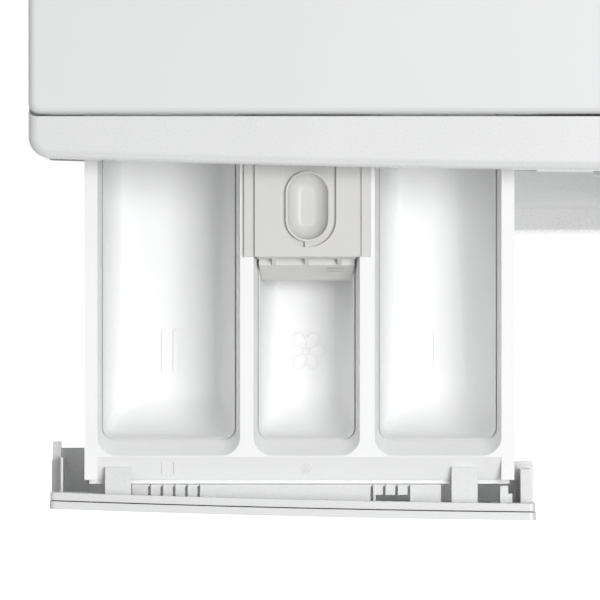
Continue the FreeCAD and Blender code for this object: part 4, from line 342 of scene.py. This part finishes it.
def drum():
    """Perforated barrel, rolled front and dished back in place of the plain drum."""
    radius = (DRUM_HIGH.x - DRUM_LOW.x) / 2
    mouth = radius - DRUM_MOUTH_DROP
    front, back = DRUM_LOW.y, DRUM_HIGH.y
    rolled_mouth = [(mouth, front + 3 * MM), (mouth + 1 * MM, front + 1 * MM), (mouth + 4 * MM, front),
                    (mouth + 8 * MM, front + 2 * MM), (mouth + 14 * MM, front + 6 * MM)]
    front_corner = [(radius - 10 * MM, front + 6 * MM), (radius - 4 * MM, front + 8 * MM),
                    (radius - 1 * MM, front + 11 * MM), (radius, front + FRONT_ROLL)]
    back_corner = [(radius, back - BACK_ROLL), (radius - 2 * MM, back - 6 * MM),
                   (radius - 6 * MM, back - 3 * MM)]
    flat = back - 3 * MM
    dished_back = [(BACK_DISH_RADIUS, flat), (BACK_DISH_RADIUS - 13 * MM, flat - BACK_DISH_DEPTH / 2),
                   (BACK_DISH_RADIUS - 25 * MM, flat - BACK_DISH_DEPTH), (2 * MM, flat - BACK_DISH_DEPTH)]
    front_sheet = rolled_mouth + front_corner
    back_sheet = back_corner + dished_back
    piece = new_piece("drum_perforated", *drum_barrel(), "stainless", "drum")
    for name, profile in (("drum_front_ring", front_sheet), ("drum_back_dish", back_sheet)):
        sheet = new_piece(name, *turned_sheet(profile), "stainless", "drum")
        thicken(sheet, DRUM_SHEET, offset=1.0)
        smooth(sheet)
    thicken(piece, DRUM_SHEET)
    smooth(piece, angle=math.radians(30))
    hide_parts("drum_shell")


# ---------------------------------------------------------------- soft parts between the cabinet and the tub

HUNG_PARTS = (("suspension_springs", 24 * MM, 14 * MM), ("fill_hose", 14 * MM, 14 * MM))


def bending(node):
    """A copy of a soft part's mesh, with its placement baked in, in place of the hidden node."""
    piece = bpy.data.objects.new(node + "_bending", NODES[node].data.copy())
    bpy.context.scene.collection.objects.link(piece)
    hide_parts(node)
    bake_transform(piece)


def suspension():
    """The gasket, the hoses and the springs are copied in place of their nodes."""
    bending("door_gasket")
    for node, cabinet_cuff, tub_cuff in HUNG_PARTS:
        bending(node)
    bending("sump_hose")


# ---------------------------------------------------------------- printed marks


INK_PROUD = 0.05 * MM
INK_THICKNESS = 0.04 * MM
PINHOLE = 0.05 * MM
FINE_STROKE = 0.5 * MM


def bar(x0, z0, x1, z1, width):
    """A straight stroke as one quad."""
    along = Vector((x1 - x0, z1 - z0)).normalized() * width / 2
    across = Vector((-along.y, along.x))
    start, end = Vector((x0, z0)), Vector((x1, z1))
    return [[start - across, end - across, end + across, start + across]]


def arc(x, z, inner, outer, start=0, end=360, steps=None):
    """A ring, or part of one, as a strip of quads. Angles are degrees."""
    steps = steps or max(6, round(abs(end - start) / 10))
    quads = []
    for step in range(steps):
        turns = [math.radians(start + (end - start) * (step + more) / steps) for more in (0, 1)]
        rays = [Vector((math.cos(turn), math.sin(turn))) for turn in turns]
        centre = Vector((x, z))
        quads.append([centre + rays[0] * inner, centre + rays[0] * outer,
                      centre + rays[1] * outer, centre + rays[1] * inner])
    return quads


def dot(x, z, radius, steps=None):
    """A filled round mark."""
    return arc(x, z, PINHOLE, radius, steps=steps)


def print_on(name, node, quads, ink, slot="white_moulding"):
    """Lays flat quads, given as (x, z), on a node's front face."""
    shape = NODES[node].data
    tree = BVHTree.FromPolygons([v.co for v in shape.vertices], [p.vertices for p in shape.polygons])
    ahead = MACHINE_LOW.y - 1
    points, faces = [], []
    for quad in quads:
        first = len(points)
        for x, z in quad:
            hit = tree.ray_cast(Vector((x, ahead, z)), Vector((0, 1, 0)))[0]
            points.append((x, hit.y - INK_PROUD, z))
        faces.append(tuple(range(first, first + len(quad))))
    piece = new_piece(name, points, faces, slot, NODES[node]["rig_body"], ink)
    thicken(piece, INK_THICKNESS, offset=1.0)


KNOB_SCALE_OUT = 5.5 * MM
KNOB_STOPS = 14
KNOB_GAP = 50
LIT_STOP = 3
TICK_LENGTH = 2.6 * MM
TICK_WIDTH = 0.7 * MM
DOT_DISTANCE = 2.4 * MM
DOT_RADIUS = 0.9 * MM


def knob_scale():
    """Programme marks round the selector: a tick and a dot at each stop, with a small lamp at one."""
    knob = middle("selector_knob")
    far = (KNOB_HIGH.x - KNOB_LOW.x) / 2 + KNOB_SCALE_OUT
    near = far - TICK_LENGTH
    quads, lamp = [], []
    for stop in range(KNOB_STOPS):
        turn = math.radians(90 - KNOB_GAP / 2 - stop * (360 - KNOB_GAP) / (KNOB_STOPS - 1))
        across, up = math.cos(turn), math.sin(turn)
        inner = (knob.x + across * near, knob.z + up * near)
        outer = (knob.x + across * far, knob.z + up * far)
        quads += bar(*inner, *outer, TICK_WIDTH)
        beyond = far + DOT_DISTANCE
        marks = lamp if stop == LIT_STOP else quads
        marks += dot(knob.x + across * beyond, knob.z + up * beyond, DOT_RADIUS, steps=12)
    print_on("selector_scale", "fascia", quads, "print_grey")
    print_on("selector_lamp", "fascia", lamp, "lit_green")


DIGIT_SEGMENTS = {"0": "abcdef", "1": "bc", "3": "abcdg"}
DIGIT_HALF_WIDTH = 4.0 * MM
DIGIT_HALF_HEIGHT = 7.5 * MM
DIGIT_GAP = 0.7 * MM
DIGIT_STROKE = 1.3 * MM
DIGIT_RISE = 2 * MM
TIME_FIGURES = (("1", -21 * MM), ("3", -5 * MM), ("0", 9 * MM))
COLON_X = -13 * MM
COLON_RISES = (5 * MM, -1 * MM)
LAMP_COUNT = 4
FIRST_LAMP_X = 22 * MM
LAMP_PITCH = 6.5 * MM
LAMP_RADIUS = 0.8 * MM
LAMP_RISE = 6 * MM
LAMP_BAR_RISE = 1 * MM
LAMP_BAR_HALF = 1.8 * MM


def digit(x, z, figure):
    """One seven-segment figure, centred at (x, z)."""
    w, h, gap = DIGIT_HALF_WIDTH, DIGIT_HALF_HEIGHT, DIGIT_GAP
    strokes = {"a": (-w + gap, h, w - gap, h), "b": (w, gap, w, h - gap), "c": (w, -h + gap, w, -gap),
               "d": (-w + gap, -h, w - gap, -h), "e": (-w, -h + gap, -w, -gap), "f": (-w, gap, -w, h - gap),
               "g": (-w + gap, 0, w - gap, 0)}
    quads = []
    for segment in DIGIT_SEGMENTS[figure]:
        x0, z0, x1, z1 = strokes[segment]
        quads += bar(x + x0, z + z0, x + x1, z + z1, DIGIT_STROKE)
    return quads


def display():
    """Remaining time and four stage lamps behind the dark window."""
    centre = middle("display_window")
    quads = []
    for figure, offset in TIME_FIGURES:
        quads += digit(centre.x + offset, centre.z + DIGIT_RISE, figure)
    for rise in COLON_RISES:
        quads += dot(centre.x + COLON_X, centre.z + rise, LAMP_RADIUS, steps=12)
    for lamp in range(LAMP_COUNT):
        x = centre.x + FIRST_LAMP_X + lamp * LAMP_PITCH
        z = centre.z + LAMP_BAR_RISE
        quads += dot(x, centre.z + LAMP_RISE, LAMP_RADIUS, steps=12)
        quads += bar(x - LAMP_BAR_HALF, z, x + LAMP_BAR_HALF, z, FINE_STROKE)
    print_on("display_figures", "display_window", quads, "lit_white", "tinted_window")


def power_mark(x, z):
    """An open ring with a stroke through its gap."""
    ring = arc(x, z, 3.6 * MM, 4.3 * MM, 120, 420)
    return ring + bar(x, z + 1 * MM, x, z + 5.5 * MM, 0.7 * MM)


def start_mark(x, z):
    """A triangle and two strokes: start and pause."""
    left, low, top = x - 5.5 * MM, z - 4 * MM, z + 4 * MM
    quads = [[Vector((left, low)), Vector((left + 6 * MM, z)), Vector((left, top))]]
    for offset in (3.2 * MM, 6.0 * MM):
        quads += bar(x + offset, low, x + offset, top, 1.1 * MM)
    return quads


def start_ring(x, z):
    """The lit ring round the start button."""
    return arc(x, z, 13.2 * MM, 13.8 * MM)


def temperature_mark(x, z):
    """A thermometer with three divisions."""
    quads = dot(x, z - 2.6 * MM, 1.9 * MM) + bar(x, z - 2 * MM, x, z + 5 * MM, 1.1 * MM)
    for rise in (0.5 * MM, 2.5 * MM, 4.5 * MM):
        quads += bar(x + 1.6 * MM, z + rise, x + 3.4 * MM, z + rise, FINE_STROKE)
    return quads


SPIRAL_STEPS = 36
SPIRAL_START = 1.0 * MM
SPIRAL_GROWTH = 0.115 * MM
SPIRAL_TURN = 20


def spin_mark(x, z):
    """A spiral of short strokes."""
    points = []
    for step in range(SPIRAL_STEPS + 1):
        reach = SPIRAL_START + SPIRAL_GROWTH * step
        turn = math.radians(SPIRAL_TURN * step)
        points.append((x + reach * math.cos(turn), z + reach * math.sin(turn)))
    quads = []
    for start, end in zip(points, points[1:]):
        quads += bar(*start, *end, 0.6 * MM)
    return quads


BUTTON_MARKS = (
    ("power_mark", "power_button", power_mark, "print_grey"),
    ("start_mark", "start_button", start_mark, "print_grey"),
    ("start_lamp_ring", "start_button", start_ring, "lit_green"),
    ("temperature_mark", "temperature_button", temperature_mark, "print_grey"),
    ("spin_mark", "spin_button", spin_mark, "print_grey"),
)


def button_marks():
    """Generic pictograms on the buttons."""
    for name, button, draw, ink in BUTTON_MARKS:
        centre = middle(button)
        print_on(name, button, draw(centre.x, centre.z), ink, "button_moulding")


# ---------------------------------------------------------------- stage, light and camera

FLOOR_SIZE = 24.0
FLOOR_DROP = 0.2 * MM
POOL_RADIUS = 0.9
POOL_CORE = 0.7
POOL_EDGE_GLOW = 0.06
POOL_GLOW = 0.65
VIEW_WIDTH_SHARE = 1.2324
VIEW_CENTRE = Vector((3.0, 92.7, 0)) * MM
CAMERA_DISTANCE = 7.0
SENSOR = 36.0


def floor():
    """A pale floor with a painted pool of light (emission that grows towards the open drawer), where it reads
    as white from above.
    """
    half, level = FLOOR_SIZE / 2, MACHINE_LOW.z - FLOOR_DROP
    mesh = bpy.data.meshes.new("floor")
    corners = [(-half, -half, level), (half, -half, level), (half, half, level), (-half, half, level)]
    mesh.from_pydata(corners, [], [(0, 1, 2, 3)])
    plane = bpy.data.objects.new("floor", mesh)
    bpy.context.scene.collection.objects.link(plane)
    material = finish("floor", (0.93, 0.93, 0.93), 0.75, tint=0.004, patch=0.6)
    shader = material.node_tree.nodes["Principled BSDF"]
    shader.inputs["Emission Color"].default_value = (1, 1, 1, 1)
    add, link = node_tools(material)
    place = add("TexCoord").outputs["Object"]
    # painted light: the floor's emission strength is highest round the drawer and fades outwards
    centre = middle("drawer_trim") / -POOL_RADIUS
    moved = add("Mapping", {"Vector": place}, Location=(centre.x, centre.y, 0), Scale=[1 / POOL_RADIUS] * 3)
    pool = add("TexGradient", {"Vector": moved.outputs["Vector"]}, gradient_type="SPHERICAL").outputs["Fac"]
    strength = add("MapRange", {"Value": pool}, interpolation_type="SMOOTHSTEP")
    strength.inputs["From Max"].default_value = POOL_CORE
    strength.inputs["To Min"].default_value = POOL_EDGE_GLOW
    strength.inputs["To Max"].default_value = POOL_GLOW
    link(strength.outputs["Result"], shader.inputs["Emission Strength"])
    mesh.materials.append(material)


def area_light(name, offset, size, power):
    """A soft square light at offset from the machine's middle, aimed at it."""
    data = bpy.data.lights.new(name, "AREA")
    data.size = size
    data.energy = power
    light = bpy.data.objects.new(name, data)
    bpy.context.scene.collection.objects.link(light)
    light.location = MACHINE_MIDDLE + Vector(offset)
    light.rotation_euler = (-Vector(offset)).to_track_quat("-Z", "Y").to_euler()
    light.visible_camera = False


LIGHTS = (
    ("key", (0.75, -0.2, 2.9), 1.2, 50),
    ("front", (-0.6, -3.0, 1.0), 2.0, 16),
    ("back", (-1.6, 2.8, 1.6), 2.0, 20),
)
ROOM_GLOW = 0.28


def light_stage():
    """A key light overhead and to the right, weaker ones in front and behind, in a pale room."""
    for name, offset, size, power in LIGHTS:
        area_light(name, offset, size, power)
    world = bpy.data.worlds.new("room")
    world.use_nodes = True
    background = world.node_tree.nodes["Background"]
    background.inputs["Color"].default_value = (1.0, 1.0, 1.0, 1)
    background.inputs["Strength"].default_value = ROOM_GLOW
    bpy.context.scene.world = world


def place_camera():
    """Straight down on the open drawer, from so far that nothing converges."""
    data = bpy.data.cameras.new("camera")
    camera = bpy.data.objects.new("camera", data)
    bpy.context.scene.collection.objects.link(camera)
    trim_middle = Vector(((TRIM_LOW.x + TRIM_HIGH.x) / 2, TRIM_LOW.y, TRIM_HIGH.z))
    camera.location = trim_middle + VIEW_CENTRE + Vector((0, 0, CAMERA_DISTANCE))
    view_width = VIEW_WIDTH_SHARE * (TRIM_HIGH.x - TRIM_LOW.x)
    data.sensor_width = SENSOR
    data.lens = SENSOR * CAMERA_DISTANCE / view_width
    data.clip_end = 100
    bpy.context.scene.camera = camera
    bpy.context.scene.view_settings.view_transform = "Standard"


finish_frame()
drum()
suspension()
knob_scale()
display()
button_marks()
floor()
light_stage()
place_camera()
